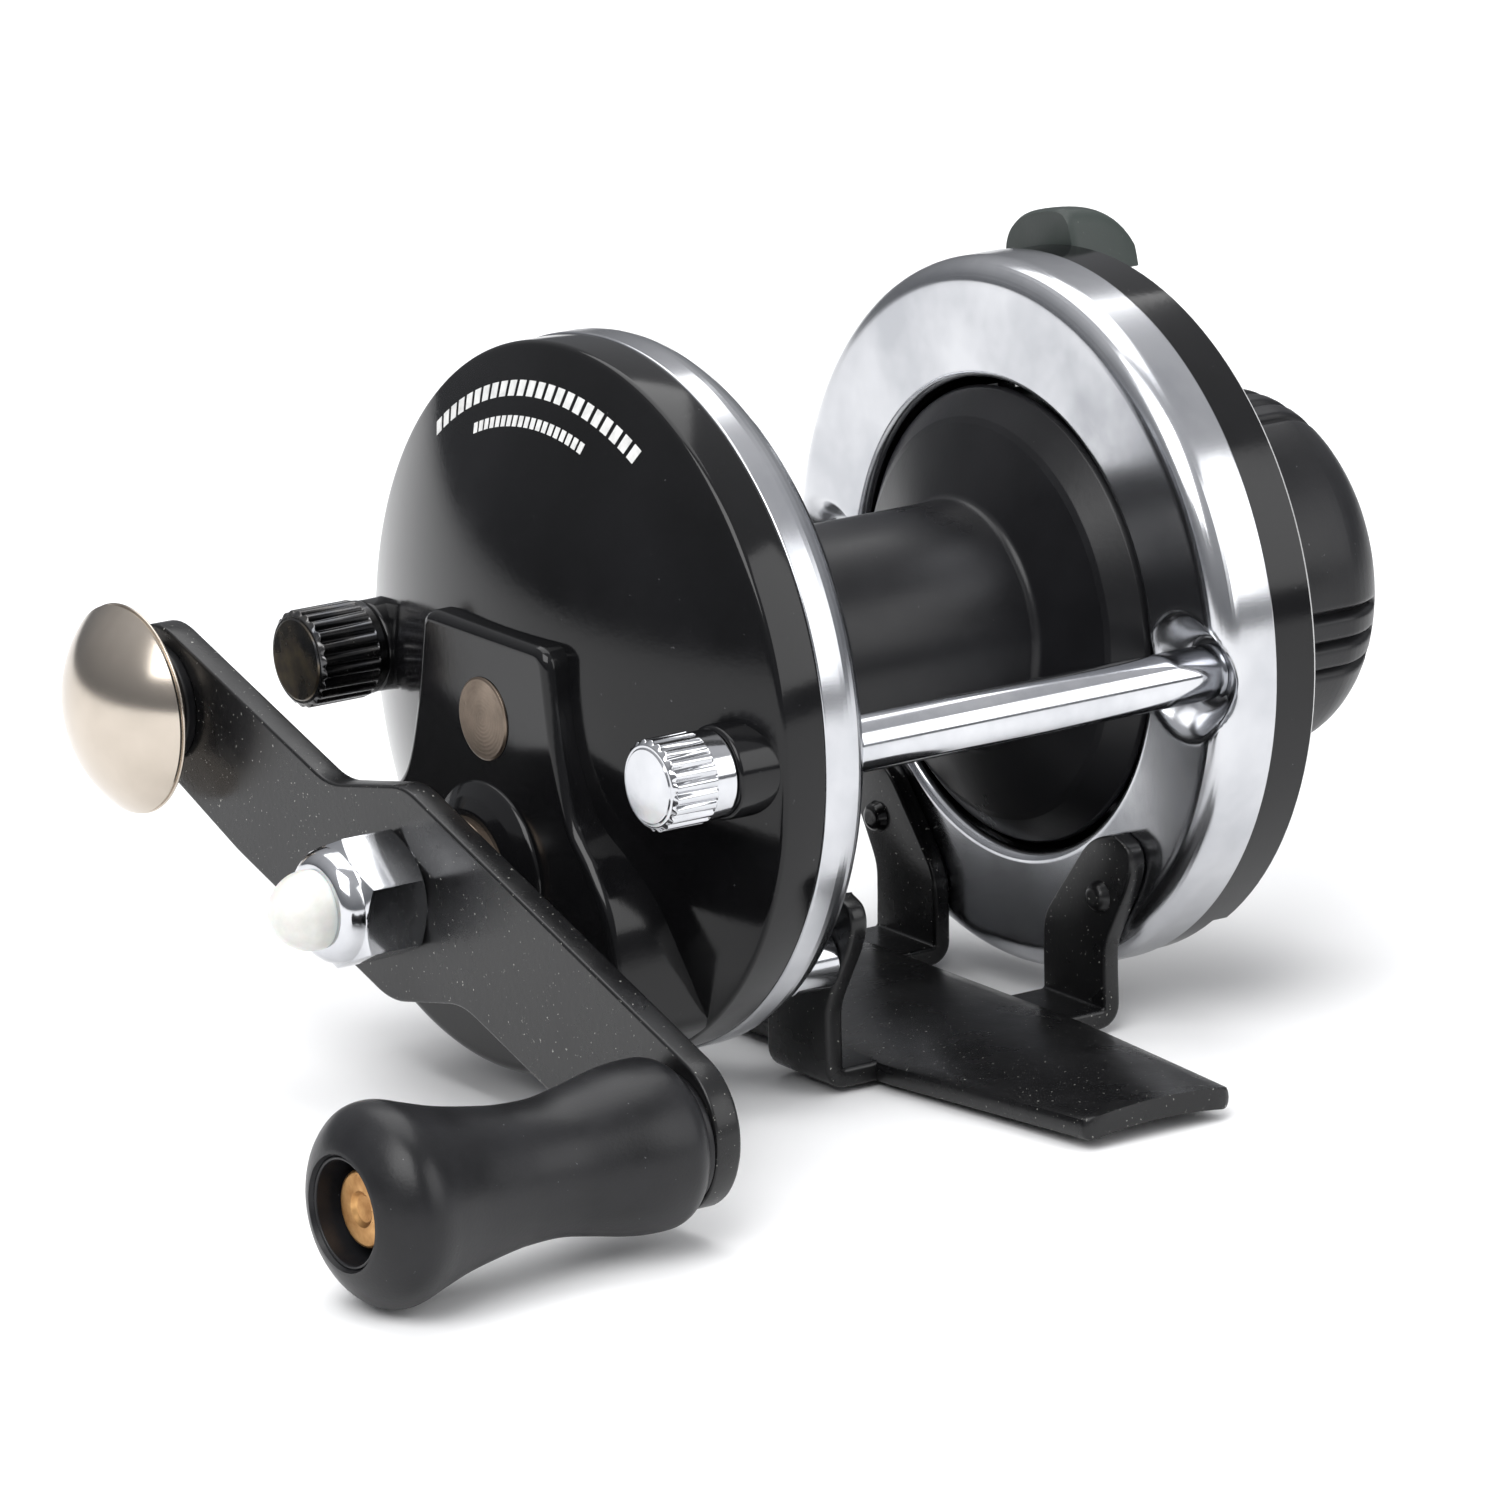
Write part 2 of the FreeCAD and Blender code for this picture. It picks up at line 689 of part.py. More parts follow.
def make_head_plate():
    """The moulded head plate: a domed cap with the raised gear housing, the crank boss,
    seats for the thumb nuts and posts for the bridge plate, hollow behind."""
    height = dim("axis_height")
    radius = dim("plate_radius")
    wall = dim("plate_wall")
    edge = dim("dome_edge")
    back = dim("head_rim_edge")
    ledge = dim("ledge_face")
    cap = dome("head_dome", edge, radius, dim("dome_height"), 0.0)
    drum = rod("head_drum", edge, back - edge, radius, 0.0, height)
    spigot_end = dim("head_ring_face") - dim("ring_sheet") - dim("spigot_setback")
    spigot_radius = dim("head_rim_radius") - dim("ring_sheet") - dim("spigot_gap")
    spigot = rod("head_spigot", back, spigot_end - back, spigot_radius, 0.0, height)
    raised = new_body("head_housing_outline", 0.0, 0.0, height)
    face = dim("housing_face")
    pad(raised, "head_housing_pad", face, back - face, housing_outline(fixed(0.0)))
    trim = rod("head_housing_trim", face - 1, back - face + 2, radius - 0.05, 0.0, height)
    housing = common("head_housing", [raised, trim])
    front_edges = []
    for index, item in enumerate(housing.Shape.Edges, start=1):
        box = item.BoundBox
        if box.XLength < 0.01 and abs(box.XMin - face.value) < 0.01:
            front_edges.append((index, number(dim("housing_edge")), number(dim("housing_edge"))))
    soft = doc.addObject("Part::Fillet", "head_housing_soft")
    soft.Base = housing
    soft.Edges = front_edges
    doc.recompute()
    boss_z = height - dim("crank_drop")
    boss = new_body("head_boss_turn", 0.0, 0.0, boss_z)
    boss_face = dim("boss_face")
    boss_radius = dim("boss_radius")
    profile = [
        (face + 1, 0.0),
        (face + 1, boss_radius),
        (face, boss_radius),
        (face - 0.6, boss_radius - 0.35),
        (boss_face + 0.2, boss_radius - 1.2),
        (boss_face, boss_radius - 2.0),
        (boss_face, 0.0),
    ]
    revolve(boss, "head_boss_profile", profile)
    outside = fuse("head_outside", [cap, drum, spigot, soft, boss])

    cavity_cap = dome("head_cavity_dome", edge + 0.4, dim("cavity_radius"), dim("dome_height") * 0.72, 0.0)
    cavity = rod("head_cavity", edge + 0.4, ledge - edge, dim("cavity_radius"), 0.0, height)
    socket = rod("head_socket", ledge, spigot_end - ledge + 1, dim("socket_radius"), 0.0, height)
    mouth = rod("head_mouth", back, spigot_end - back + 1, dim("spigot_inner"), 0.0, height)
    hollow_body = new_body("head_hollow_outline", 0.0, 0.0, height)
    hollow_start = face + dim("housing_wall")
    depth = ledge - hollow_start
    pad(hollow_body, "head_hollow_pad", hollow_start, depth + 0.5, housing_outline(dim("housing_wall")))
    hollow_trim = rod("head_hollow_trim", hollow_start - 1, depth + 3, dim("cavity_radius"), 0.0, height)
    hollow = common("head_hollow", [hollow_body, hollow_trim])
    shell = cut("head_shell", outside, [cavity_cap, cavity, socket, mouth, hollow])

    posts = []
    for index, (y, z) in enumerate(bridge_screw_spots()):
        posts.append(rod("head_post_%d" % index, edge - 1, ledge - edge + 1, fixed(2.2), y, height + z))
    for sign, side in ((-1, "front"), (1, "rear")):
        y = dim("pillar_offset") * sign
        top = dim("seat_face")
        posts.append(rod("head_seat_" + side, top, ledge - top, fixed(3.2), y, height))
    solid_plate = fuse("head_posted", [shell] + posts)

    cuts = []
    stud_hole = dim("stud_radius") + 0.15
    for sign, side in ((-1, "front"), (1, "rear")):
        y = dim("pillar_offset") * sign
        cuts.append(rod("head_stud_hole_" + side, fixed(-34.0), fixed(20.0), stud_hole, y, height))
    for index, (y, z) in enumerate(bridge_screw_spots()):
        cuts.append(rod("head_post_hole_%d" % index, ledge - 3.0, fixed(3.5), fixed(0.92), y, height + z))
    cuts.append(rod("head_bush_hole", face - 1, fixed(8.0), dim("bush_radius"), 0.0, height))
    crank_hole = dim("crank_shaft_radius") + 1.2
    cuts.append(rod("head_crank_hole", boss_face - 1, fixed(8.0), crank_hole, 0.0, boss_z))
    plate = cut("head_plate", solid_plate, cuts)
    plate.Label = "head_plate"


def bridge_screw_spots():
    """(y, z) of the four bridge screws, from the spool axis."""
    ring = dim("bridge_screw_ring")
    angle = math.radians(number(dim("bridge_screw_angle")))
    spots = []
    for side in (-1, 1):
        for level in (-1, 1):
            spots.append((ring * (side * math.cos(angle)), ring * (level * math.sin(angle))))
    return spots


def make_head_bush():
    """The blind bronze bush whose closed end shows flush on the housing."""
    face = dim("housing_face")
    body = new_body("head_bush", 0.0, 0.0, dim("axis_height"))
    bore = dim("shaft_radius") + dim("bush_gap")
    outline = [
        (face - 0.15, 0.0),
        (face - 0.15, dim("bush_radius") - 0.15),
        (face, dim("bush_radius")),
        (face + 2.1, dim("bush_radius")),
        (face + 2.1, bore),
        (face + 0.9, bore),
        (face + 0.9, 0.0),
    ]
    revolve(body, "head_bush_turn", outline)


def make_crank_bush():
    """The sleeve in the crank boss that carries the crank shaft."""
    body = new_body("crank_bush", 0.0, 0.0, dim("axis_height") - dim("crank_drop"))
    inner = dim("crank_shaft_radius") + dim("bush_gap")
    outer = dim("crank_shaft_radius") + 1.2
    start = dim("boss_face") - 0.7
    circles = [(0.0, 0.0, outer), (0.0, 0.0, inner)]
    pad(body, "crank_bush_sleeve", start, fixed(-28.9) - start, circles=circles)


def make_bridge():
    """The steel plate that closes the gear space and carries the crank shaft's inner end."""
    body = new_body("gear_bridge", 0.0, 0.0, dim("axis_height"))
    start = dim("ledge_face")
    circles = [(0.0, 0.0, dim("bridge_radius")), (0.0, 0.0, fixed(2.4))]
    circles.append((0.0, -dim("crank_drop"), fixed(1.6) + dim("bush_gap")))
    for y, z in bridge_screw_spots():
        circles.append((y, z, fixed(1.0)))
    pad(body, "gear_bridge_disc", start, dim("bridge_sheet"), circles=circles)
    notches = [(dim("pillar_offset") * sign, 0.0, dim("stud_radius") + 0.3) for sign in (-1, 1)]
    pocket(body, "gear_bridge_notches", start - 0.5, dim("bridge_sheet") + 1.0, circles=notches)


def make_bridge_screws():
    members = []
    start = dim("ledge_face") + dim("bridge_sheet")
    for index, (y, z) in enumerate(bridge_screw_spots()):
        name = "bridge_screw_%d" % index
        body = new_body(name, 0.0, y, dim("axis_height") + z)
        outline = [
            (start - 4.0, 0.0),
            (start - 4.0, fixed(0.9)),
            (start, fixed(0.9)),
            (start, fixed(1.7)),
            (start + 0.5, fixed(1.6)),
            (start + 0.9, fixed(1.1)),
            (start + 0.9, 0.0),
        ]
        revolve(body, name + "_turn", outline)
        slot = [(-2.5, -0.2), (2.5, -0.2), (2.5, 0.2), (-2.5, 0.2)]
        pocket(body, name + "_slot", start + 0.5, fixed(1.0), slot)
        members.append(body)
    group("bridge_screws", members)


# ---------------------------------------------------------------- gears, spool

def tooth_outline(teeth, phase):
    """One straight-flanked gear tooth pointing up, from below its root circle to its tip."""
    module = dim("gear_module")
    pitch = module * teeth / 2
    tip = pitch + module * 0.92
    root = pitch - module * 1.2
    half_pitch = module * (math.pi / 4 - 0.07)
    points = [
        (-half_pitch * 1.55, root - 0.15),
        (-half_pitch, pitch),
        (-half_pitch * 0.45, tip),
        (half_pitch * 0.45, tip),
        (half_pitch, pitch),
        (half_pitch * 1.55, root - 0.15),
    ]
    if phase:
        turn = math.pi / number(teeth)
        points = [(y * math.cos(turn) - z * math.sin(turn), y * math.sin(turn) + z * math.cos(turn))
                  for y, z in points]
    return points


def make_gear(name, teeth, z, start, width, bore, phase):
    """A spur gear on the X axis: a root disc and one tooth repeated round it."""
    body = new_body(name, 0.0, 0.0, z)
    module = dim("gear_module")
    root = module * teeth / 2 - module * 1.2
    pad(body, name + "_disc", start, width, circles=[(0.0, 0.0, root)])
    tooth = pad(body, name + "_tooth", start, width, tooth_outline(teeth, phase))
    polar(body, name + "_teeth", tooth, teeth)
    pocket(body, name + "_bore", start - 0.5, width + 1.0, circles=[(0.0, 0.0, bore)])
    return body


def make_spool():
    """The moulded spool: an arbor between two coned flanges that turn in the ring openings."""
    middle = (dim("head_ring_face") + dim("tail_ring_face")) / 2
    half = (dim("tail_ring_face") - dim("head_ring_face")) / 2
    body = new_body("spool", 0.0, 0.0, dim("axis_height"))
    rim_out = half + dim("flange_reach")
    rim_in = rim_out - dim("flange_rim")
    cone_top = rim_in - dim("flange_bevel")
    cone_base = cone_top - dim("cone_depth")
    bore = dim("shaft_radius")
    hollow = dim("arbor_radius") - 2.2
    outline = [
        (middle - rim_out, bore),
        (middle - rim_out, dim("flange_radius")),
        (middle - rim_in, dim("flange_radius")),
        (middle - cone_top, dim("cone_radius")),
        (middle - cone_base, dim("arbor_radius")),
        (middle + cone_base, dim("arbor_radius")),
        (middle + cone_top, dim("cone_radius")),
        (middle + rim_in, dim("flange_radius")),
        (middle + rim_out, dim("flange_radius")),
        (middle + rim_out, bore),
    ]
    revolve(body, "spool_turn", outline)
    well = [
        (middle + rim_out - 8.0, bore + 1.6),
        (middle + rim_out - 8.0, hollow),
        (middle + rim_out + 0.5, hollow),
        (middle + rim_out + 0.5, bore + 1.6),
    ]
    groove(body, "spool_well", well)


def make_spool_shaft():
    """The steel shaft through the spool, with a shoulder collar on the head side."""
    body = new_body("spool_shaft", 0.0, 0.0, dim("axis_height"))
    circles = [(0.0, 0.0, dim("shaft_radius"))]
    start = dim("shaft_head_end")
    pad(body, "spool_shaft_rod", start, dim("shaft_tail_end") - start, circles=circles)
    round_edges(body, "spool_shaft_tip", fixed(0.4), ring_edge(dim("shaft_tail_end"), dim("shaft_radius")))


def make_spool_collar():
    body = new_body("spool_collar", 0.0, 0.0, dim("axis_height"))
    start = fixed(-24.8)
    end = dim("head_ring_face") - dim("flange_reach")
    circles = [(0.0, 0.0, fixed(2.2)), (0.0, 0.0, dim("shaft_radius"))]
    pad(body, "spool_collar_sleeve", start, end - start, circles=circles)


def make_click_gear():
    """The toothed click wheel on the spool's tail side."""
    body = new_body("click_gear", 0.0, 0.0, dim("axis_height"))
    start = dim("click_plane")
    thick = dim("click_thickness")
    radius = dim("click_radius")
    pad(body, "click_gear_disc", start, thick, circles=[(0.0, 0.0, radius)])
    notch = [(-0.35, radius + 0.3), (0.0, radius - 0.7), (0.35, radius + 0.3)]
    tooth = pocket(body, "click_gear_notch", start - 0.5, thick + 1.0, notch)
    polar(body, "click_gear_notches", tooth, dim("click_teeth"))
    pocket(body, "click_gear_bore", start - 0.5, thick + 1.0, circles=[(0.0, 0.0, dim("shaft_radius"))])


# ---------------------------------------------------------------- crank

def crank_body(name):
    """A body on the crank axis, turned to the crank's rest angle."""
    height = dim("axis_height") - dim("crank_drop")
    return new_body(name, 0.0, 0.0, height, (1, 0, 0), number(dim("crank_angle")))


def make_crank_arm():
    """The flat double-ended crank: two parallel arms offset to opposite sides of its axis.
    The knob end points to -Y and the counterweight end to +Y."""
    half = dim("crank_half_width")
    nose = dim("crank_nose")
    reach = dim("crank_reach")
    far = dim("weight_reach")
    offset = dim("weight_offset")
    rise = dim("knob_offset")
    outline = [
        (-(reach + nose), rise - half),
        (-(reach + nose), rise + half),
        (fixed(1.0), rise + half),
        (fixed(9.3), -offset + half),
        (far + half, -offset + half),
        (far + half, -offset - half),
        (fixed(-1.5), -offset - half),
        (fixed(-9.0), rise - half),
    ]
    body = crank_body("crank_arm")
    thickness = dim("crank_thickness")
    pad(body, "crank_arm_blank", dim("crank_inner") - thickness, thickness, outline)
    ends = [outline[0], outline[1], outline[4], outline[5]]
    bends = [outline[2], outline[3], outline[6], outline[7]]

    def corner_test(corners):
        def test(edge, middle):
            if not isinstance(edge.Curve, Part.Line) or abs(edge.Curve.Direction.x) < 0.99:
                return False
            return any(math.hypot(middle.y - number(y), middle.z - number(z)) < 0.05 for y, z in corners)
        return test

    round_edges(body, "crank_arm_ends", half - 0.1, corner_test(ends))
    round_edges(body, "crank_arm_bends", fixed(3.5), corner_test(bends))
    start = dim("crank_inner") - dim("crank_thickness") - 0.5
    gap = fixed(0.02)
    holes = [
        (0.0, 0.0, dim("thread_radius") + gap),
        (-reach, rise, fixed(1.5)),
        (far, -offset, fixed(1.5)),
    ]
    pocket(body, "crank_arm_holes", start, dim("crank_thickness") + 1.0, circles=holes)


def make_crank_shaft():
    """The crank shaft: inner journal, gear seat, bearing length and the threaded end."""
    body = new_body("crank_shaft", 0.0, 0.0, dim("axis_height") - dim("crank_drop"))
    main = dim("crank_shaft_radius")
    tip = dim("crank_inner") - dim("crank_thickness") - dim("shaft_thread")
    outline = [
        (tip, 0.0),
        (tip, dim("thread_radius")),
        (dim("crank_inner"), dim("thread_radius")),
        (dim("crank_inner"), main),
        (fixed(-24.4), main),
        (fixed(-24.4), fixed(1.6)),
        (fixed(-19.9), fixed(1.6)),
        (fixed(-19.9), 0.0),
    ]
    revolve(body, "crank_shaft_turn", outline)


def make_drag_washers():
    """A fibre washer and a steel washer between the gear and the bush."""
    main = dim("crank_shaft_radius") + 0.02
    for name, start, radius in (("drag_washer", -25.25, 6.4), ("gear_washer", -28.55, 5.2)):
        body = new_body(name, 0.0, 0.0, dim("axis_height") - dim("crank_drop"))
        circles = [(0.0, 0.0, fixed(radius)), (0.0, 0.0, main)]
        pad(body, name + "_ring", fixed(start), fixed(0.6), circles=circles)


# Degrees by which one corner of the hexagon is turned from the arm's long direction.
NUT_TURN = 16.9


def make_crank_nut():
    """The chromed hexagon nut with its domed shoulder."""
    body = crank_body("crank_nut")
    outer_face = dim("crank_inner") - dim("crank_thickness")
    front = outer_face - dim("nut_height")
    corner = dim("nut_flats") / 2 / math.cos(math.pi / 6)
    outline = []
    for index in range(6):
        angle = math.radians(60 * index + NUT_TURN)
        outline.append((corner * math.cos(angle), corner * math.sin(angle)))
    pad(body, "crank_nut_hexagon", front, dim("nut_height"), outline)
    rim = dim("nut_dome_radius")
    chamfer = [
        (front - 0.5, rim),
        (front - 0.5, corner + 1),
        (front + 0.45, corner + 1),
        (front + 0.45, corner + 0.02),
        (front - 0.01, rim + 0.1),
    ]
    groove(body, "crank_nut_chamfer", chamfer)
    tip = front - dim("nut_dome")
    shoulder = [
        (front + 0.2, 0.0),
        (front + 0.2, rim),
        (front, rim),
        (front - dim("nut_dome") * 0.35, rim * 0.985),
        (front - dim("nut_dome") * 0.7, rim * 0.94),
        (front - dim("nut_dome") * 0.92, rim * 0.88),
        (tip, rim * 0.80),
        (tip, 0.0),
    ]
    revolve(body, "crank_nut_shoulder", shoulder)
    thread = dim("thread_radius") + 0.02
    length = dim("nut_height") + dim("nut_dome") + 1.0
    pocket(body, "crank_nut_thread", tip - 0.5, length, circles=[(0.0, 0.0, thread)])


def make_nut_cap():
    """The white nylon locking cap that fills the nut's mouth."""
    body = crank_body("nut_cap")
    outer_face = dim("crank_inner") - dim("crank_thickness")
    base = outer_face - dim("nut_height") - dim("nut_dome")
    plug = outer_face - dim("shaft_thread") - 0.1
    radius = dim("cap_radius")
    length = dim("cap_length")
    outline = [
        (plug, 0.0),
        (plug, dim("thread_radius") - 0.02),
        (base, dim("thread_radius") - 0.02),
        (base, radius),
        (base - length * 0.35, radius * 0.97),
        (base - length * 0.68, radius * 0.80),
        (base - length * 0.90, radius * 0.48),
        (base - length, radius * 0.15),
        (base - length, 0.0),
    ]
    revolve(body, "nut_cap_turn", outline)


def make_counterweight():
    """The domed nickel counterweight, its black washer and its upset rivet end."""
    outer_face = dim("crank_inner") - dim("crank_thickness")
    rim_x = outer_face - dim("weight_stand")
    radius = dim("weight_radius")
    rise = dim("weight_dome")
    ball = (radius * radius + rise * rise) / (rise * 2)
    steps = 5
    profile = [(rim_x - rise, 0.0)]
    for index in range(1, steps):
        part = radius * (index / steps)
        drop = ball.value - math.sqrt(ball.value ** 2 - part.value ** 2)
        profile.append((rim_x - rise + drop, part))
    profile += [
        (rim_x, radius),
        (rim_x + 0.35, radius - 0.15),
        (rim_x + 0.9, radius * 0.7),
        (outer_face - 1.6, fixed(3.4)),
        (outer_face - 0.8, fixed(3.4)),
        (outer_face - 0.8, fixed(1.48)),
        (dim("crank_inner") + 0.02, fixed(1.48)),
        (dim("crank_inner") + 0.02, 0.0),
    ]
    for name, outline in (
        ("counterweight", profile),
        ("counterweight_washer", [
            (outer_face - 0.8, fixed(1.5)),
            (outer_face - 0.8, fixed(4.1)),
            (outer_face, fixed(4.1)),
            (outer_face, fixed(1.5)),
        ]),
        ("counterweight_rivet", [
            (dim("crank_inner") + 0.02, 0.0),
            (dim("crank_inner") + 0.02, fixed(2.3)),
            (dim("crank_inner") + 0.5, fixed(2.0)),
            (dim("crank_inner") + 0.7, fixed(1.2)),
            (dim("crank_inner") + 0.7, 0.0),
        ]),
    ):
        carrier = crank_body(name)
        revolve_at(carrier, name + "_turn", outline, dim("weight_reach"), -dim("weight_offset"))


def revolve_at(body, name, points, y, z):
    """Turn an outline about a line parallel to X through (y, z) in the body's own frame."""
    sketch = new_sketch(body, name + "_profile", "XY_Plane", z)
    shifted = [(x, y + radius) for x, radius in points]
    draw_outline(sketch, shifted)
    import Sketcher
    left = FreeCAD.Vector(-70, number(y), 0)
    right = FreeCAD.Vector(-20, number(y), 0)
    axis_line = sketch.addGeometry(Part.LineSegment(left, right), True)
    sketch.addConstraint(Sketcher.Constraint("Horizontal", axis_line))
    pin_point(sketch, axis_line, 1, fixed(-70.0), y)
    sketch.addConstraint(Sketcher.Constraint("DistanceX", -1, 1, axis_line, 2, -20.0))
    feature = body.newObject("PartDesign::Revolution", name)
    feature.Profile = sketch
    feature.ReferenceAxis = (sketch, ["Axis0"])
    feature.Angle = 360.0
    doc.recompute()
    return feature


def knob_profile():
    """(distance from the base, radius) along the knob's outside."""
    base = dim("knob_base_radius")
    waist = dim("knob_waist_radius")
    bulb = dim("knob_bulb_radius")
    length = dim("knob_length")
    return [
        (fixed(0.0), base - 1.1),
        (fixed(0.35), base - 0.45),
        (fixed(1.3), base - 0.02),
        (fixed(3.0), base),
        (fixed(5.2), base - 0.25),
        (length * 0.36, waist + 0.05),
        (length * 0.46, waist),
        (length * 0.56, waist + 0.35),
        (length * 0.66, waist + 0.95),
        (length * 0.74, bulb - 0.75),
        (length * 0.81, bulb - 0.12),
        (length * 0.86, bulb),
        (length * 0.91, bulb - 0.35),
        (length * 0.955, bulb - 1.2),
        (length * 0.985, bulb - 2.1),
        (length, bulb - 2.9),
    ]


def make_handle_knob():
    """The turned handle knob, bored for its pin and counterbored at the outer end."""
    base_x = dim("crank_inner") - dim("crank_thickness") - 0.65
    bore = fixed(1.5) + dim("running_gap")
    length = dim("knob_length")
    outline = [(base_x - along, radius) for along, radius in knob_profile()]
    end = base_x - length
    outline += [
        (end, dim("knob_recess") + 0.3),
        (end + 0.6, dim("knob_recess")),
        (end + 3.4, dim("knob_recess")),
        (end + 3.4, bore),
        (base_x, bore),
    ]
    body = crank_body("handle_knob")
    revolve_at(body, "handle_knob_turn", outline, -dim("crank_reach"), dim("knob_offset"))


def make_knob_pin():
    """The brass pin the knob turns on, riveted into the arm, and the washer under the knob."""
    outer_face = dim("crank_inner") - dim("crank_thickness")
    head = outer_face - 0.65 - dim("knob_length") + 1.5
    y = -dim("crank_reach")
    pin = [
        (head, 0.0),
        (head, dim("pin_radius") - 0.2),
        (head + 0.2, dim("pin_radius")),
        (head + 1.8, dim("pin_radius")),
        (head + 1.8, fixed(1.48)),
        (dim("crank_inner"), fixed(1.48)),
        (dim("crank_inner"), fixed(2.2)),
        (dim("crank_inner") + 0.6, fixed(1.8)),
        (dim("crank_inner") + 0.6, 0.0),
    ]
    body = crank_body("knob_pin")
    revolve_at(body, "knob_pin_turn", pin, y, dim("knob_offset"))
    washer = [
        (outer_face - 0.6, fixed(1.5)),
        (outer_face - 0.6, fixed(4.4)),
        (outer_face, fixed(4.4)),
        (outer_face, fixed(1.5)),
    ]
    body = crank_body("knob_washer")
    revolve_at(body, "knob_washer_turn", washer, y, dim("knob_offset"))


# ---------------------------------------------------------------- thumb nuts

def make_thumb_nut(name, sign, radius, outer, knurl):
    """A knurled thumb nut with its stud, which runs through the head plate into the pillar."""
    body = new_body(name, 0.0, dim("pillar_offset") * sign, dim("axis_height"))
    knurl_end = outer + knurl
    seat = dim("seat_face")
    stud = dim("stud_radius")
    tip = dim("head_ring_face") + dim("stud_depth") - 0.8
    outline = [
        (outer, 0.0),
        (outer, radius - 0.35),
        (outer + 0.35, radius),
        (knurl_end, radius),
        (knurl_end, radius - 0.12),
        (seat - 0.03, radius - 0.12),
        (seat - 0.03, stud),
        (tip, stud),
        (tip, 0.0),
    ]
    revolve(body, name + "_turn", outline)
    notch = [
        (fixed(-0.16), radius + 0.3),
        (fixed(-0.05), radius - 0.28),
        (fixed(0.05), radius - 0.28),
        (fixed(0.16), radius + 0.3),
    ]
    flute = pocket(body, name + "_flute", outer, knurl, notch)
    polar(body, name + "_flutes", flute, dim("knurl_count"))


# ---------------------------------------------------------------- tail side

def make_tail_plate():
    """The moulded tail plate: a flat disc with a shallow rim, a spigot inside the ring,
    the lever's boss, the threaded neck for the tension knob and a slot for the lever's pin."""
    height = dim("axis_height")
    face = dim("tail_plate_face")
    edge = dim("tail_rim_edge")
    ring_back = dim("tail_ring_face") + dim("ring_sheet") + dim("spigot_setback")
    spigot_radius = dim("tail_rim_radius") - dim("ring_sheet") - dim("spigot_gap")
    web = dim("tail_web")
    body = new_body("tail_turned", 0.0, 0.0, height)
    neck = dim("neck_radius")
    bush = fixed(3.0)
    outline = [
        (ring_back, spigot_radius),
        (edge, spigot_radius),
        (edge, dim("tail_plate_radius")),
        (face - 0.4, dim("tail_plate_radius")),
        (face, dim("tail_plate_radius") - 0.4),
        (face, dim("lever_boss_radius")),
        (face + 1.7, dim("lever_boss_radius")),
        (face + 1.7, neck),
        (dim("neck_end"), neck),
        (dim("neck_end"), bush),
        (fixed(16.6), bush),
        (fixed(16.6), neck - 1),
        (face - web, neck - 1),
        (face - web, fixed(23.05)),
        (ring_back, fixed(23.05)),
    ]
    revolve(body, "tail_turned_profile", outline)
    posts = []
    cuts = []
    post_start = dim("pillar_tail_end") + dim("ring_sheet") + 0.02
    for sign, side in ((-1, "front"), (1, "rear")):
        y = dim("pillar_offset") * sign
        room = dim("dimple_mouth") + dim("ring_sheet") + 0.3
        post = face - web - post_start + 0.2
        posts.append(rod("tail_post_" + side, post_start, post, fixed(2.9), y, height))
        clear = post_start - ring_back + 1
        cuts.append(rod("tail_cup_room_" + side, ring_back - 1, clear, room, y, height))
        cuts.append(rod("tail_stud_hole_" + side, post_start - 1, fixed(12.0), dim("stud_radius") + 0.1, y,
                        height))
        cuts.append(rod("tail_counterbore_" + side, face - 1.3, fixed(4.0), dim("stud_radius") * 2 + 0.15, y,
                        height))
    solid_plate = fuse("tail_posted", [body] + posts)
    notch_floor = height - 26.0
    notch = [fixed(19.3), fixed(-16.0), notch_floor, fixed(3.0), fixed(32.0), fixed(6.2)]
    cuts.append(block("tail_notch", *notch))
    slot_body = new_body("tail_slot_outline", 0.0, 0.0, height)
    slot = []
    for radius, angles in ((13.0, (70, 80, 90, 100, 110)), (16.0, (110, 100, 90, 80, 70))):
        for angle in angles:
            turn = math.radians(angle - LEVER_LEAN)
            slot.append((fixed(radius * math.cos(turn)), fixed(radius * math.sin(turn))))
    pad(slot_body, "tail_slot_pad", face - web - 0.5, web + 1.0, slot)
    cuts.append(slot_body)
    plate = cut("tail_plate", solid_plate, cuts)
    plate.Label = "tail_plate"


LEVER_LEAN = 15.4


def make_tail_bush():
    body = new_body("tail_bush", 0.0, 0.0, dim("axis_height"))
    circles = [(0.0, 0.0, fixed(3.0)), (0.0, 0.0, dim("shaft_radius") + dim("bush_gap"))]
    pad(body, "tail_bush_sleeve", fixed(16.7), fixed(9.5), circles=circles)


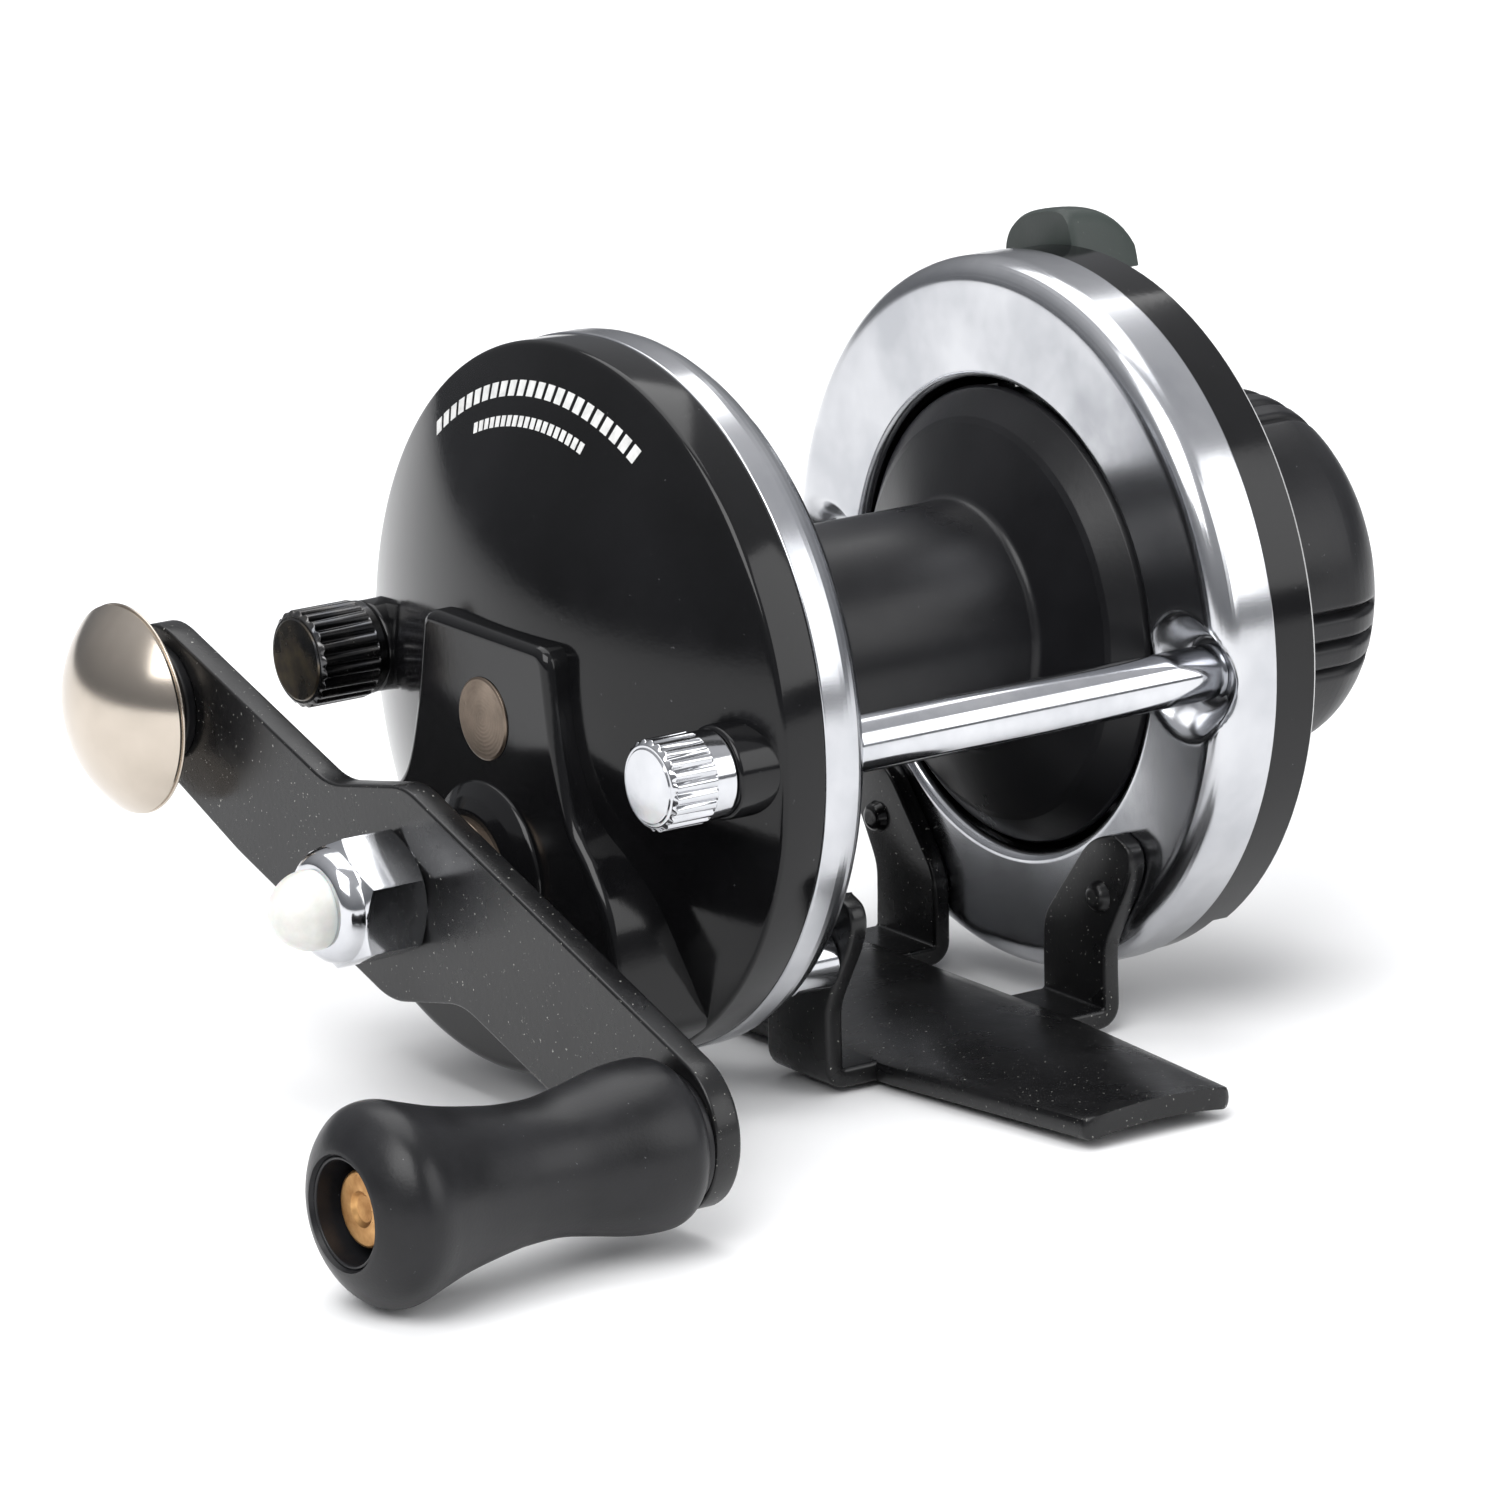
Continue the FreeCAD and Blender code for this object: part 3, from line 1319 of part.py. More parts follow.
def make_lever():
    """The click lever: a ring on the tail boss, an arm to the rim, a thumb tab bent over it
    and a pin that reaches through the tail plate to the click tongue."""
    start = dim("tail_plate_face") + 0.15
    sheet_size = dim("lever_sheet")
    height = dim("axis_height")
    body = new_body("click_lever", 0.0, 0.0, height, (1, 0, 0), -LEVER_LEAN)
    inner = dim("lever_boss_radius") + dim("running_gap")
    pad(body, "click_lever_ring", start, sheet_size, circles=[(0.0, 0.0, fixed(12.4)), (0.0, 0.0, inner)])
    arm = [(-3.2, 11.2), (-3.2, 18.0), (-3.8, 24.4), (4.2, 24.4), (3.3, 18.0), (3.2, 11.2)]
    pad(body, "click_lever_arm", start, sheet_size, [(fixed(y), fixed(z)) for y, z in arm])
    tab = [(-3.9, 22.2), (-3.85, 26.2), (-3.1, 26.9), (-1.4, 27.2), (0.8, 27.2), (2.5, 26.85), (3.5, 26.1),
           (4.2, 24.9), (4.4, 22.2)]
    tab_depth = dim("lever_tab_depth")
    pad(body, "click_lever_tab", start, tab_depth, [(fixed(y), fixed(z)) for y, z in tab])
    top = number(start + tab_depth)

    def crest(edge, middle):
        return abs(middle.x - top) < 0.02 and middle.z > 26.4

    round_edges(body, "click_lever_soft", fixed(3.2), crest)
    plane = dim("click_plane")
    pad(body, "click_lever_pin", plane, start - plane + 0.2, circles=[(0.0, fixed(14.5), fixed(0.9))])


def make_click_tongue():
    """The springy tongue that reaches from the lever's pin towards the click wheel."""
    body = new_body("click_tongue", 0.0, 0.0, dim("axis_height"), (1, 0, 0), -LEVER_LEAN)
    tip = dim("click_radius") + 0.35
    outline = [(fixed(-1.6), fixed(15.9)), (fixed(-1.6), fixed(12.6)), (fixed(-0.3), tip), (fixed(0.3), tip),
               (fixed(1.6), fixed(12.6)), (fixed(1.6), fixed(15.9))]
    pad(body, "click_tongue_blade", dim("click_plane"), dim("click_thickness"), outline)
    hole = [(0.0, fixed(14.5), fixed(0.92))]
    pocket(body, "click_tongue_hole", dim("click_plane") - 0.5, fixed(2.5), circles=hole)


def make_tension_knob():
    """The round tension knob on the neck, with groups of grip grooves round its wall."""
    body = new_body("tension_knob", 0.0, 0.0, dim("axis_height"))
    radius = dim("tension_radius")
    end = dim("tension_end")
    bore = dim("neck_radius") + dim("running_gap")
    start = dim("tension_start")
    outline = [
        (start, bore),
        (start, radius),
        (end, radius),
        (end, 0.0),
        (dim("neck_end") + 1.4, 0.0),
        (dim("neck_end") + 1.4, bore),
    ]
    revolve(body, "tension_knob_turn", outline)
    round_edges(body, "tension_knob_corner", dim("tension_corner"), ring_edge(end, radius))
    for index, angle in enumerate((182.5, 192.5, 202.5)):
        turn = math.radians(angle)
        across = (-math.sin(turn), math.cos(turn))
        out = (math.cos(turn), math.sin(turn))
        outline = []
        for side, level in ((-0.45, 1.5), (-0.3, -0.75), (0.3, -0.75), (0.45, 1.5)):
            reach = radius + level
            outline.append((reach * out[0] + across[0] * side, reach * out[1] + across[1] * side))
        groove_cut = pocket(body, "tension_groove_%d" % index, start + 3.6, fixed(12.0), outline)
        polar(body, "tension_grooves_%d" % index, groove_cut, fixed(4))


def make_tension_plug():
    """The brass plug between the knob and the shaft end."""
    body = new_body("tension_plug", 0.0, 0.0, dim("axis_height"))
    start = dim("shaft_tail_end") + 0.05
    pad(body, "tension_plug_disc", start, dim("neck_end") + 1.4 - start, circles=[(0.0, 0.0, fixed(2.6))])


# ---------------------------------------------------------------- build and export

def build():
    fill_sheet()
    make_ring("head_ring", dim("head_rim_edge"), dim("head_ring_face"), dim("head_rim_radius"), 1)
    make_tail_ring()
    make_pillar("pillar_front", -1)
    make_pillar("pillar_rear", 1)
    make_tail_screws()
    make_foot()
    make_foot_rivets()
    make_foot_spacers()
    make_head_plate()
    make_head_bush()
    make_crank_bush()
    make_bridge()
    make_bridge_screws()
    crank_z = dim("axis_height") - dim("crank_drop")
    gear_bore = dim("crank_shaft_radius")
    make_gear("drive_gear", dim("drive_teeth"), crank_z, fixed(-27.9), fixed(2.6), gear_bore, False)
    pinion_bore = dim("shaft_radius")
    make_gear("pinion", dim("pinion_teeth"), dim("axis_height"), fixed(-28.2), fixed(3.4), pinion_bore, True)
    make_drag_washers()
    make_spool()
    make_spool_shaft()
    make_spool_collar()
    make_click_gear()
    make_crank_arm()
    make_crank_shaft()
    make_crank_nut()
    make_nut_cap()
    make_counterweight()
    make_handle_knob()
    make_knob_pin()
    make_thumb_nut("thumb_nut_front", -1, dim("nut_knurl_radius"), dim("nut_face"), dim("knurl_length"))
    rear_face = dim("rear_nut_face")
    make_thumb_nut("thumb_nut_rear", 1, dim("rear_nut_radius"), rear_face, dim("rear_knurl_length"))
    make_tail_plate()
    make_tail_bush()
    make_lever()
    make_click_tongue()
    make_tension_knob()
    make_tension_plug()


NODES = [
    "head_plate", "head_ring", "tail_ring", "tail_plate", "pillar_front", "pillar_rear", "tail_screws",
    "foot", "foot_rivets", "foot_spacers", "head_bush", "crank_bush", "tail_bush", "gear_bridge",
    "bridge_screws", "spool", "spool_shaft", "spool_collar", "pinion", "click_gear", "crank_shaft",
    "drive_gear", "drag_washer", "gear_washer", "crank_arm", "crank_nut", "nut_cap", "counterweight",
    "counterweight_washer", "counterweight_rivet", "knob_pin", "knob_washer", "handle_knob",
    "thumb_nut_front", "thumb_nut_rear", "click_lever", "click_tongue", "tension_knob", "tension_plug",
]


def check_and_export():
    """Stop on any failed object, then write one file for each node."""
    doc.recompute()
    for thing in doc.Objects:
        states = [state for state in thing.State if state in ("Invalid", "Error")]
        require(not states, "%s is %s" % (thing.Label, states))
    os.makedirs("parts", exist_ok=True)
    by_label = {thing.Label: thing for thing in doc.Objects}
    for node in NODES:
        shape = by_label[node].Shape
        require(not shape.isNull() and shape.isValid(), node + " has no valid shape")
        shape.exportStep("parts/%s.step" % node)
        box = shape.BoundBox
        sides = (box.XMin, box.XMax, box.YMin, box.YMax, box.ZMin, box.ZMax)
        spans = "x %6.1f..%6.1f  y %6.1f..%6.1f  z %6.1f..%6.1f" % sides
        print("%-22s %2d solids %9.1f mm3  %s" % (node, len(shape.Solids), shape.Volume, spans))


build()
check_and_export()
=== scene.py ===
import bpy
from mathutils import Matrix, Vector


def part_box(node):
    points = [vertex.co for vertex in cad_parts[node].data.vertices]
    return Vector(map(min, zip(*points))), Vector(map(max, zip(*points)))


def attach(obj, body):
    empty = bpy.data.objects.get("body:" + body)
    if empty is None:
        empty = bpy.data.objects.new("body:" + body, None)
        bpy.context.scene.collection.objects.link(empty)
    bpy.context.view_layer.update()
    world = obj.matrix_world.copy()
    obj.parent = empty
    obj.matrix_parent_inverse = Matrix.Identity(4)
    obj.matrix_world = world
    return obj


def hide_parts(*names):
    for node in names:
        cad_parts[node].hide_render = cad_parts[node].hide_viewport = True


bl_info = {
    "name": "Multiplier Reel",
    "version": (1, 0, 0),
    "blender": (4, 5, 0),
    "location": "3D View > Sidebar > Reel",
    "description": "Detailed skins and finishes for a small multiplier fishing reel",
    "category": "Add Mesh",
}

import math

import bmesh
import bpy
import numpy as np
from mathutils import Matrix

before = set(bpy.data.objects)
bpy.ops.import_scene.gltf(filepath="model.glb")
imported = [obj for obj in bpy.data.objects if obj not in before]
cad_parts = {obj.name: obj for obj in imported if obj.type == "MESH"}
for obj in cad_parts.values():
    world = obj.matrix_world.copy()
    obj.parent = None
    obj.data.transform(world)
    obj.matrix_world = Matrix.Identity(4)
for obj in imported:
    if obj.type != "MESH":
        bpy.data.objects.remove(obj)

# Lengths inside the functions are millimetres in the row frame; meshes are written in metres.
MM = 0.001
FULL = 2.0 * math.pi
# Places that several pieces share: the spool axis height, faces on X, and the foot's rivets.
AXIS = 26.6
PLATE_BACK = -19.96
HEAD_RING = -15.8
TAIL_RING = 12.45
LEVER_FRONT = 21.05
LEVER_BACK = 22.45
RIVET_Y = 13.0
RIVET_Z = AXIS - 17.0


def mm(value):
    """A size property, stored in metres, as millimetres."""
    return value / MM


def length(label, value, text):
    """A length property given in millimetres."""
    return bpy.props.FloatProperty(name=label, description=text, default=value * MM, unit="LENGTH")


def colour(label, code, text):
    """A colour property given as an sRGB hex code."""
    return bpy.props.StringProperty(name=label, description=text, default=code)


# ------------------------------------------------------------------ sizes and colours

class ReelPlateSizes(bpy.types.PropertyGroup):
    plate_radius: length("Plate radius", 24.5, "Radius of the head plate")
    dome_edge: length("Dome edge", -23.2, "Where the head plate's dome starts on X")
    dome_height: length("Dome height", 6.4, "Rise of the head plate's dome")
    housing_face: length("Housing face", -30.6, "Flat face of the gear housing on X")
    boss_drop: length("Boss drop", 10.75, "Crank axis below the spool axis")
    seat_face: length("Seat face", -26.5, "Face of the nut seats on X")
    head_ring_radius: length("Head ring radius", 24.6, "Outside of the head ring")
    tail_ring_radius: length("Tail ring radius", 25.0, "Outside of the tail ring")
    opening_radius: length("Opening radius", 16.6, "Opening in both rings")
    pillar_offset: length("Pillar offset", 20.9, "Pillars from the spool axis on Y")
    pillar_radius: length("Pillar radius", 1.9, "Radius of the pillars")


class ReelCrankSizes(bpy.types.PropertyGroup):
    lean: bpy.props.FloatProperty(name="Crank lean", description="Rest angle of the crank",
                                  default=math.radians(19.1), subtype="ANGLE")
    reach: length("Crank reach", 33.85, "Crank axis to the knob's axis")
    nose: length("Nose", 4.45, "Arm's end beyond the knob's axis")
    knob_offset: length("Knob offset", 2.1, "Sideways offset of the knob's arm")
    weight_reach: length("Weight reach", 29.2, "Crank axis to the counterweight along the arm")
    weight_offset: length("Weight offset", 2.4, "Sideways offset of the counterweight's arm")
    half_width: length("Half width", 5.3, "Half the arm's width")
    inner_face: length("Inner face", -36.1, "Arm face towards the plate on X")
    thickness: length("Thickness", 2.0, "Thickness of the crank arm")


class ReelColours(bpy.types.PropertyGroup):
    moulding: colour("Moulding", "#0d0d0e", "Head plate moulding")
    knob: colour("Knob", "#121214", "Handle knob and tension knob")
    spool: colour("Spool", "#131315", "Spool moulding")
    enamel: colour("Enamel", "#101011", "Crank arm and foot enamel")
    lever: colour("Lever", "#28302d", "Click lever moulding")
    polish: colour("Polish", "#c6c7ca", "Polished rings")
    chrome: colour("Chrome", "#cfd0d3", "Chrome plated pieces")
    nickel: colour("Nickel", "#c3b9ad", "Counterweight plate")
    brass: colour("Brass", "#c79b66", "Brass pin")
    bronze: colour("Bronze", "#8b7d70", "Bush end")
    nylon: colour("Nylon", "#e2e2dd", "Nut cap")


class ReelStage(bpy.types.PropertyGroup):
    yaw: bpy.props.FloatProperty(name="Yaw", description="Camera heading from +Y towards +X",
                                 default=math.radians(35.26), subtype="ANGLE")
    pitch: bpy.props.FloatProperty(name="Pitch", description="Camera's downward angle",
                                   default=math.radians(16.8), subtype="ANGLE")
    roll: bpy.props.FloatProperty(name="Reel tilt", description="Reel's tilt about its spool axis",
                                  default=math.radians(1.78), subtype="ANGLE")
    distance: length("Distance", 729.9, "Camera to the spool axis, along the view")
    aim_x: length("Aim", 17.2, "Place on the spool axis that the camera's position is measured from")
    left: length("Left", 21.225, "Camera's offset to the left of that place")
    below: length("Below", 10.075, "Camera's offset below that place")
    lens: bpy.props.FloatProperty(name="Lens", description="Focal length", default=252.3)


# ------------------------------------------------------------------ shapes

def rounded(points, radii, steps=6):
    """A line through points with an arc at each corner that has a radius.
    Each arc is tangent to both sides: centre on the bisector, swept in equal angles."""
    pts = [np.array(p, float) for p in points]
    out = []
    for i, p in enumerate(pts):
        radius = radii[i]
        if radius <= 0.0:
            out.append(p)
            continue
        a = pts[i - 1] - p
        b = pts[(i + 1) % len(pts)] - p
        a /= np.linalg.norm(a)
        b /= np.linalg.norm(b)
        half = math.acos(max(-1.0, min(1.0, float(a @ b)))) / 2.0
        if half > math.pi / 2 - 0.01:
            out.append(p)
            continue
        middle = (a + b) / np.linalg.norm(a + b)
        centre = p + middle * radius / math.sin(half)
        start = p + a * radius / math.tan(half) - centre
        stop = p + b * radius / math.tan(half) - centre
        sweep = math.atan2(start[0] * stop[1] - start[1] * stop[0], float(start @ stop))
        t = np.linspace(0.0, sweep, steps + 1)[:, None]
        side = np.array([-start[1], start[0]])
        out.extend(centre + start * np.cos(t) + side * np.sin(t))
    return np.array(out)


def running_length(line):
    """Distance along a line at each of its points."""
    return np.concatenate([[0.0], np.cumsum(np.linalg.norm(np.diff(line, axis=0), axis=1))])


def braced(line, closed=False, near=0.05, step=None):
    """The same line with an extra point close to both ends of every long straight run, so that
    flat faces shade flat beside a rounded edge, and one more at every step if one is given."""
    line = np.vstack([line, line[:1]]) if closed else np.asarray(line, float)
    run = running_length(line)
    long = np.diff(run) > near * 6
    at = np.concatenate([run, run[:-1][long] + near, run[1:][long] - near])
    if step:
        at = np.concatenate([at, np.arange(0.0, run[-1], step)])
    at = np.unique(np.round(at, 4))
    if closed:
        at = at[:-1]
    return np.stack([np.interp(at, run, line[:, k]) for k in range(2)], axis=1)


def smooth_line(points, count):
    """A smooth line through the points: a Catmull-Rom cubic, with count samples a span."""
    p = np.array(points, float)
    p = np.vstack([2 * p[0] - p[1], p, 2 * p[-1] - p[-2]])
    t = np.linspace(0.0, 1.0, count, endpoint=False)[None, :, None]
    a, b, c, d = (p[i:len(p) - 3 + i][:, None, :] for i in range(4))
    q = 0.5 * (2 * b + (c - a) * t + (2 * a - 5 * b + 4 * c - d) * t ** 2 + (3 * b - a - 3 * c + d) * t ** 3)
    return np.vstack([q.reshape(-1, p.shape[1]), p[-2]])


def grid_faces(rows, columns, wrap_rows=False, wrap_columns=True):
    """Quads between neighbouring points of a rows by columns grid."""
    i = np.arange(rows if wrap_rows else rows - 1)[:, None]
    j = np.arange(columns if wrap_columns else columns - 1)[None, :]
    i2 = (i + 1) % rows
    j2 = (j + 1) % columns
    quads = np.stack([i * columns + j, i * columns + j2, i2 * columns + j2, i2 * columns + j], axis=-1)
    return quads.reshape(-1, 4)


def capped_faces(rows, columns):
    """The quads of a grid whose columns wrap round, and one face over each open end."""
    first = np.arange(columns)[None, :]
    return [grid_faces(rows, columns), first, first + (rows - 1) * columns]


def lathe(profile, y, z, count=128, swell=None, closed=False):
    """A profile of (x, r) turned about the line parallel to X through (y, z):
    the point is (x, y + R cos a, z + R sin a) with R = r + swell(x, r, a).
    A closed profile joins its last point to its first; an open one ends on the axis."""
    x = profile[:, 0][:, None]
    r = profile[:, 1][:, None]
    a = np.linspace(0.0, FULL, count, endpoint=False)[None, :]
    reach = r + (swell(x, r, a) if swell else 0.0 * a)
    points = np.stack([x + 0.0 * a, y + reach * np.cos(a), z + reach * np.sin(a)], axis=-1)
    return points.reshape(-1, 3), [grid_faces(len(profile), count, wrap_rows=closed)]


def turned(points, radii, y, z, count=128, swell=None, closed=False, steps=6):
    """A lathe shape from a cornered profile with rounded corners."""
    line = rounded(points, radii, steps)
    return lathe(braced(line, closed), y, z, count, swell, closed)


def inset(outline, distance):
    """A closed counter-clockwise outline moved inwards by distance along its normals."""
    tangent = np.roll(outline, -1, axis=0) - np.roll(outline, 1, axis=0)
    tangent /= np.linalg.norm(tangent, axis=1)[:, None]
    normal = np.stack([tangent[:, 1], -tangent[:, 0]], axis=1)
    return outline - normal * distance


def resampled(outline, step):
    """A closed outline with points at equal steps along it."""
    loop = np.vstack([outline, outline[0]])
    run = running_length(loop)
    count = max(int(run[-1] / step), 12)
    at = np.linspace(0.0, run[-1], count, endpoint=False)
    return np.stack([np.interp(at, run, loop[:, k]) for k in range(2)], axis=1)


def slab(outline, front, back, front_edge, back_edge, steps=5):
    """A flat plate between x = front and x = back with quarter-round edges:
    ring k of an edge lies radius (1 - sin t) inside the outline at height radius (1 - cos t)."""
    t = np.linspace(0.0, math.pi / 2, steps + 1)
    way = 1.0 if back > front else -1.0
    near = np.column_stack([front + way * front_edge * (1 - np.sin(t)), front_edge * (1 - np.cos(t))])
    far = np.column_stack([back - way * back_edge * (1 - np.sin(t)), back_edge * (1 - np.cos(t))])
    levels = np.vstack([[front, front_edge + 0.05], near[::-1], far, [back, back_edge + 0.05]])
    loops = [np.column_stack([np.full(len(outline), x), inset(outline, deep)]) for x, deep in levels]
    return np.vstack(loops), capped_faces(len(levels), len(outline))


def lean_points(points, lean, z):
    """Points given in the crank's own frame (x, along the arm, across it) put in the row frame:
    turned by the lean about the crank axis, which is at y = 0 and height z."""
    c = math.cos(lean)
    s = math.sin(lean)
    y = points[:, 1] * c - points[:, 2] * s
    up = points[:, 1] * s + points[:, 2] * c
    return np.column_stack([points[:, 0], y, up + z])


def swept_sheet(path, normal, low, high, thick, edge):
    """A strip of sheet metal: each station of the path has a point (x, z), a normal (x, z) and a
    range low..high along Y. Its section is a rounded rectangle of that width and thickness:
    four quarter circles whose centres lie one corner radius inside its sides."""
    quarter = np.linspace(0.0, math.pi / 2, 4)
    angles = np.concatenate([quarter + k * math.pi / 2 for k in (-1, 0, 1, 2)])[None, :]
    outer = np.repeat([1.0, 1.0, 0.0, 0.0], 4)[None, :]
    deep = np.repeat([edge, thick - edge, thick - edge, edge], 4)[None, :]
    cut = np.clip((high - low) / 2 - 0.02, 0.01, edge)[:, None]
    y = outer * (high[:, None] - cut) + (1.0 - outer) * (low[:, None] + cut) + cut * np.cos(angles)
    rise = deep + edge * np.sin(angles)
    x = path[:, :1] + normal[:, :1] * rise
    z = path[:, 1:] + normal[:, 1:] * rise
    return np.stack([x, y, z], axis=-1).reshape(-1, 3), capped_faces(*y.shape)


# ------------------------------------------------------------------ pieces

def make_piece(name, shells, material, body, stands_for=(), sharp=40.0):
    """One object from closed shells of (points in mm, blocks of faces), with outward normals."""
    points = np.vstack([shell_points for shell_points, blocks in shells]) * MM
    faces = []
    offset = 0
    for shell_points, blocks in shells:
        for block in blocks:
            faces.extend((block + offset).tolist())
        offset += len(shell_points)
    mesh = bpy.data.meshes.new(name)
    mesh.from_pydata(points.tolist(), [], faces)
    work = bmesh.new()
    work.from_mesh(mesh)
    bmesh.ops.remove_doubles(work, verts=work.verts, dist=2e-6)
    bmesh.ops.dissolve_degenerate(work, edges=work.edges, dist=1e-7)
    bmesh.ops.recalc_face_normals(work, faces=work.faces)
    work.to_mesh(mesh)
    work.free()
    mesh.polygons.foreach_set("use_smooth", np.ones(len(mesh.polygons), dtype=bool))
    mesh.set_sharp_from_angle(angle=math.radians(sharp))
    mesh.materials.append(material)
    piece = bpy.data.objects.new(name, mesh)
    bpy.context.scene.collection.objects.link(piece)
    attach(piece, body)
    if stands_for:
        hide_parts(*stands_for)
    return piece


def dress(material, *nodes):
    """Give carried-over CAD nodes a material."""
    for node in nodes:
        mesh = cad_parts[node].data
        mesh.materials.clear()
        mesh.materials.append(material)


# ------------------------------------------------------------------ materials

def linear(code):
    """sRGB hex to linear RGBA."""
    raw = [int(code[i:i + 2], 16) / 255.0 for i in (1, 3, 5)]
    return [v / 12.92 if v <= 0.04045 else ((v + 0.055) / 1.055) ** 2.4 for v in raw] + [1.0]


def add_node(tree, kind, inputs=None, **settings):
    """Add a node with its settings; an input is a value or another node's output socket."""
    node = tree.nodes.new(kind)
    for key, value in settings.items():
        setattr(node, key, value)
    for key, value in (inputs or {}).items():
        if isinstance(value, bpy.types.NodeSocket):
            tree.links.new(value, node.inputs[key])
        else:
            node.inputs[key].default_value = value
    return node


def surface(name, base, second, rough, metallic=0.0, patch=6.0, amount=0.5, grain=0.3, depth=0.006,
            fleck=None, fleck_size=0.3, fleck_share=0.72, stretch=(1.0, 1.0, 1.0), rings=None,
            centre=(0.0, 0.0), shader_values=None):
    """A finish from real sizes in mm. Large patches carry the colour from base to second and the
    roughness over its range; small flecks add a third colour; a fine grain, or rings about a line
    parallel to X through centre, lifts the surface by depth."""
    if name in bpy.data.materials:
        return bpy.data.materials[name]
    material = bpy.data.materials.new(name)
    material.use_nodes = True
    tree = material.node_tree
    tree.nodes.clear()
    where = add_node(tree, "ShaderNodeTexCoord")
    placed = add_node(tree, "ShaderNodeMapping", {
        "Vector": where.outputs["Object"], "Location": (0.0, -centre[0] * MM, -centre[1] * MM)})
    long_way = add_node(tree, "ShaderNodeMapping", {"Vector": where.outputs["Object"], "Scale": stretch})
    cloud = add_node(tree, "ShaderNodeTexNoise", {
        "Vector": placed.outputs[0], "Scale": 1.0 / (patch * MM), "Detail": 4.0, "Roughness": 0.55})
    shade = add_node(tree, "ShaderNodeMapRange", {
        "Value": cloud.outputs[0], "From Min": 0.35, "From Max": 0.72, "To Min": 0.0, "To Max": amount})
    gloss = add_node(tree, "ShaderNodeMapRange", {
        "Value": cloud.outputs[0], "From Min": 0.3, "From Max": 0.7, "To Min": rough[0], "To Max": rough[1]})
    tone = add_node(tree, "ShaderNodeMix", {
        0: shade.outputs[0], 6: linear(base), 7: linear(second)}, data_type="RGBA")
    fine = add_node(tree, "ShaderNodeTexNoise", {
        "Vector": long_way.outputs[0], "Scale": 1.0 / (grain * MM), "Detail": 3.0, "Roughness": 0.6})
    height = fine.outputs[0]
    if rings:
        marks = add_node(tree, "ShaderNodeTexWave", {
            "Vector": placed.outputs[0], "Scale": 0.314 / (rings * MM), "Distortion": 0.8, "Detail": 2.0},
            wave_type="RINGS", rings_direction="X")
        height = add_node(tree, "ShaderNodeMath", {
            0: marks.outputs[1], 1: fine.outputs[0]}, operation="MULTIPLY").outputs[0]
    if fleck:
        dots = add_node(tree, "ShaderNodeTexNoise", {
            "Vector": placed.outputs[0], "Scale": 1.0 / (fleck_size * MM), "Detail": 2.0, "Roughness": 0.55})
        share = add_node(tree, "ShaderNodeMapRange", {
            "Value": dots.outputs[0], "From Min": fleck_share, "From Max": fleck_share + 0.05})
        tone = add_node(tree, "ShaderNodeMix", {
            0: share.outputs[0], 6: tone.outputs[2], 7: linear(fleck)}, data_type="RGBA")
    lift = add_node(tree, "ShaderNodeBump", {"Height": height, "Distance": depth * MM})
    shader = add_node(tree, "ShaderNodeBsdfPrincipled", {
        "Base Color": tone.outputs[2], "Metallic": metallic, "Roughness": gloss.outputs[0],
        "Normal": lift.outputs[0], **(shader_values or {})})
    add_node(tree, "ShaderNodeOutputMaterial", {"Surface": shader.outputs[0]})
    return material


def colours():
    """The panel's colour settings."""
    return bpy.context.scene.reel_colours


def head_moulding():
    """Glossy black moulding: deep black with soft reflections and a little settled dust."""
    return surface("gloss_black_abs", colours().moulding, "#171719", (0.08, 0.16), patch=9.0, grain=0.5,
                   depth=0.003, fleck="#6a6a6c", fleck_size=0.3, fleck_share=0.76,
                   shader_values={"Specular IOR Level": 0.3})


def knob_moulding():
    """Satin black moulding: broad dull highlights, pale scuffs where fingers rub it."""
    return surface("satin_black_abs", colours().knob, "#222225", (0.3, 0.42), patch=5.0, grain=0.25,
                   depth=0.01, fleck="#5d5d60", fleck_size=0.32, fleck_share=0.74,
                   shader_values={"Specular IOR Level": 0.32})


def spool_moulding():
    """Spool moulding: dull black with a faint bloom, smoother where line has lain."""
    return surface("satin_spool_abs", colours().spool, "#1e1e21", (0.26, 0.4), patch=8.0, grain=0.35,
                   depth=0.006, fleck="#4e4e50", fleck_size=0.25, fleck_share=0.77,
                   shader_values={"Specular IOR Level": 0.3})


def lever_moulding():
    """Lever moulding: dark grey-green, matt, with a cast grain."""
    return surface("grey_green_nylon", colours().lever, "#39413d", (0.42, 0.58), patch=3.0, grain=0.3,
                   depth=0.012, fleck="#59605b", fleck_size=0.3, fleck_share=0.74)


def buffed_aluminium():
    """Buffed ring sheet: soft mirror with cloudy smears and hair-fine marks round the face."""
    return surface("buffed_aluminium", colours().polish, "#9fa1a6", (0.14, 0.24), 1.0, patch=7.0, amount=0.7,
                   grain=0.2, depth=0.0012, stretch=(0.2, 1.0, 1.0))


def chrome_plate():
    """Chrome plate: clean mirror, slightly smeared."""
    return surface("chrome_plate", colours().chrome, "#a9abb0", (0.07, 0.15), 1.0, patch=4.0, amount=0.6,
                   grain=0.3, depth=0.001)


def black_nickel():
    """Black nickel plate: dark mirror with grey worn high spots."""
    return surface("black_nickel_plate", "#4c4d50", "#66635e", (0.16, 0.3), 1.0, patch=1.6, amount=0.6,
                   grain=0.3, depth=0.003)


def worn_nickel():
    """The same plate rubbed through to brass in cloudy patches."""
    return surface("worn_nut_end", "#454649", "#86765a", (0.2, 0.36), 1.0, patch=2.6, amount=0.9,
                   grain=0.25, depth=0.004, fleck="#8f8f8c", fleck_size=0.2, fleck_share=0.76)


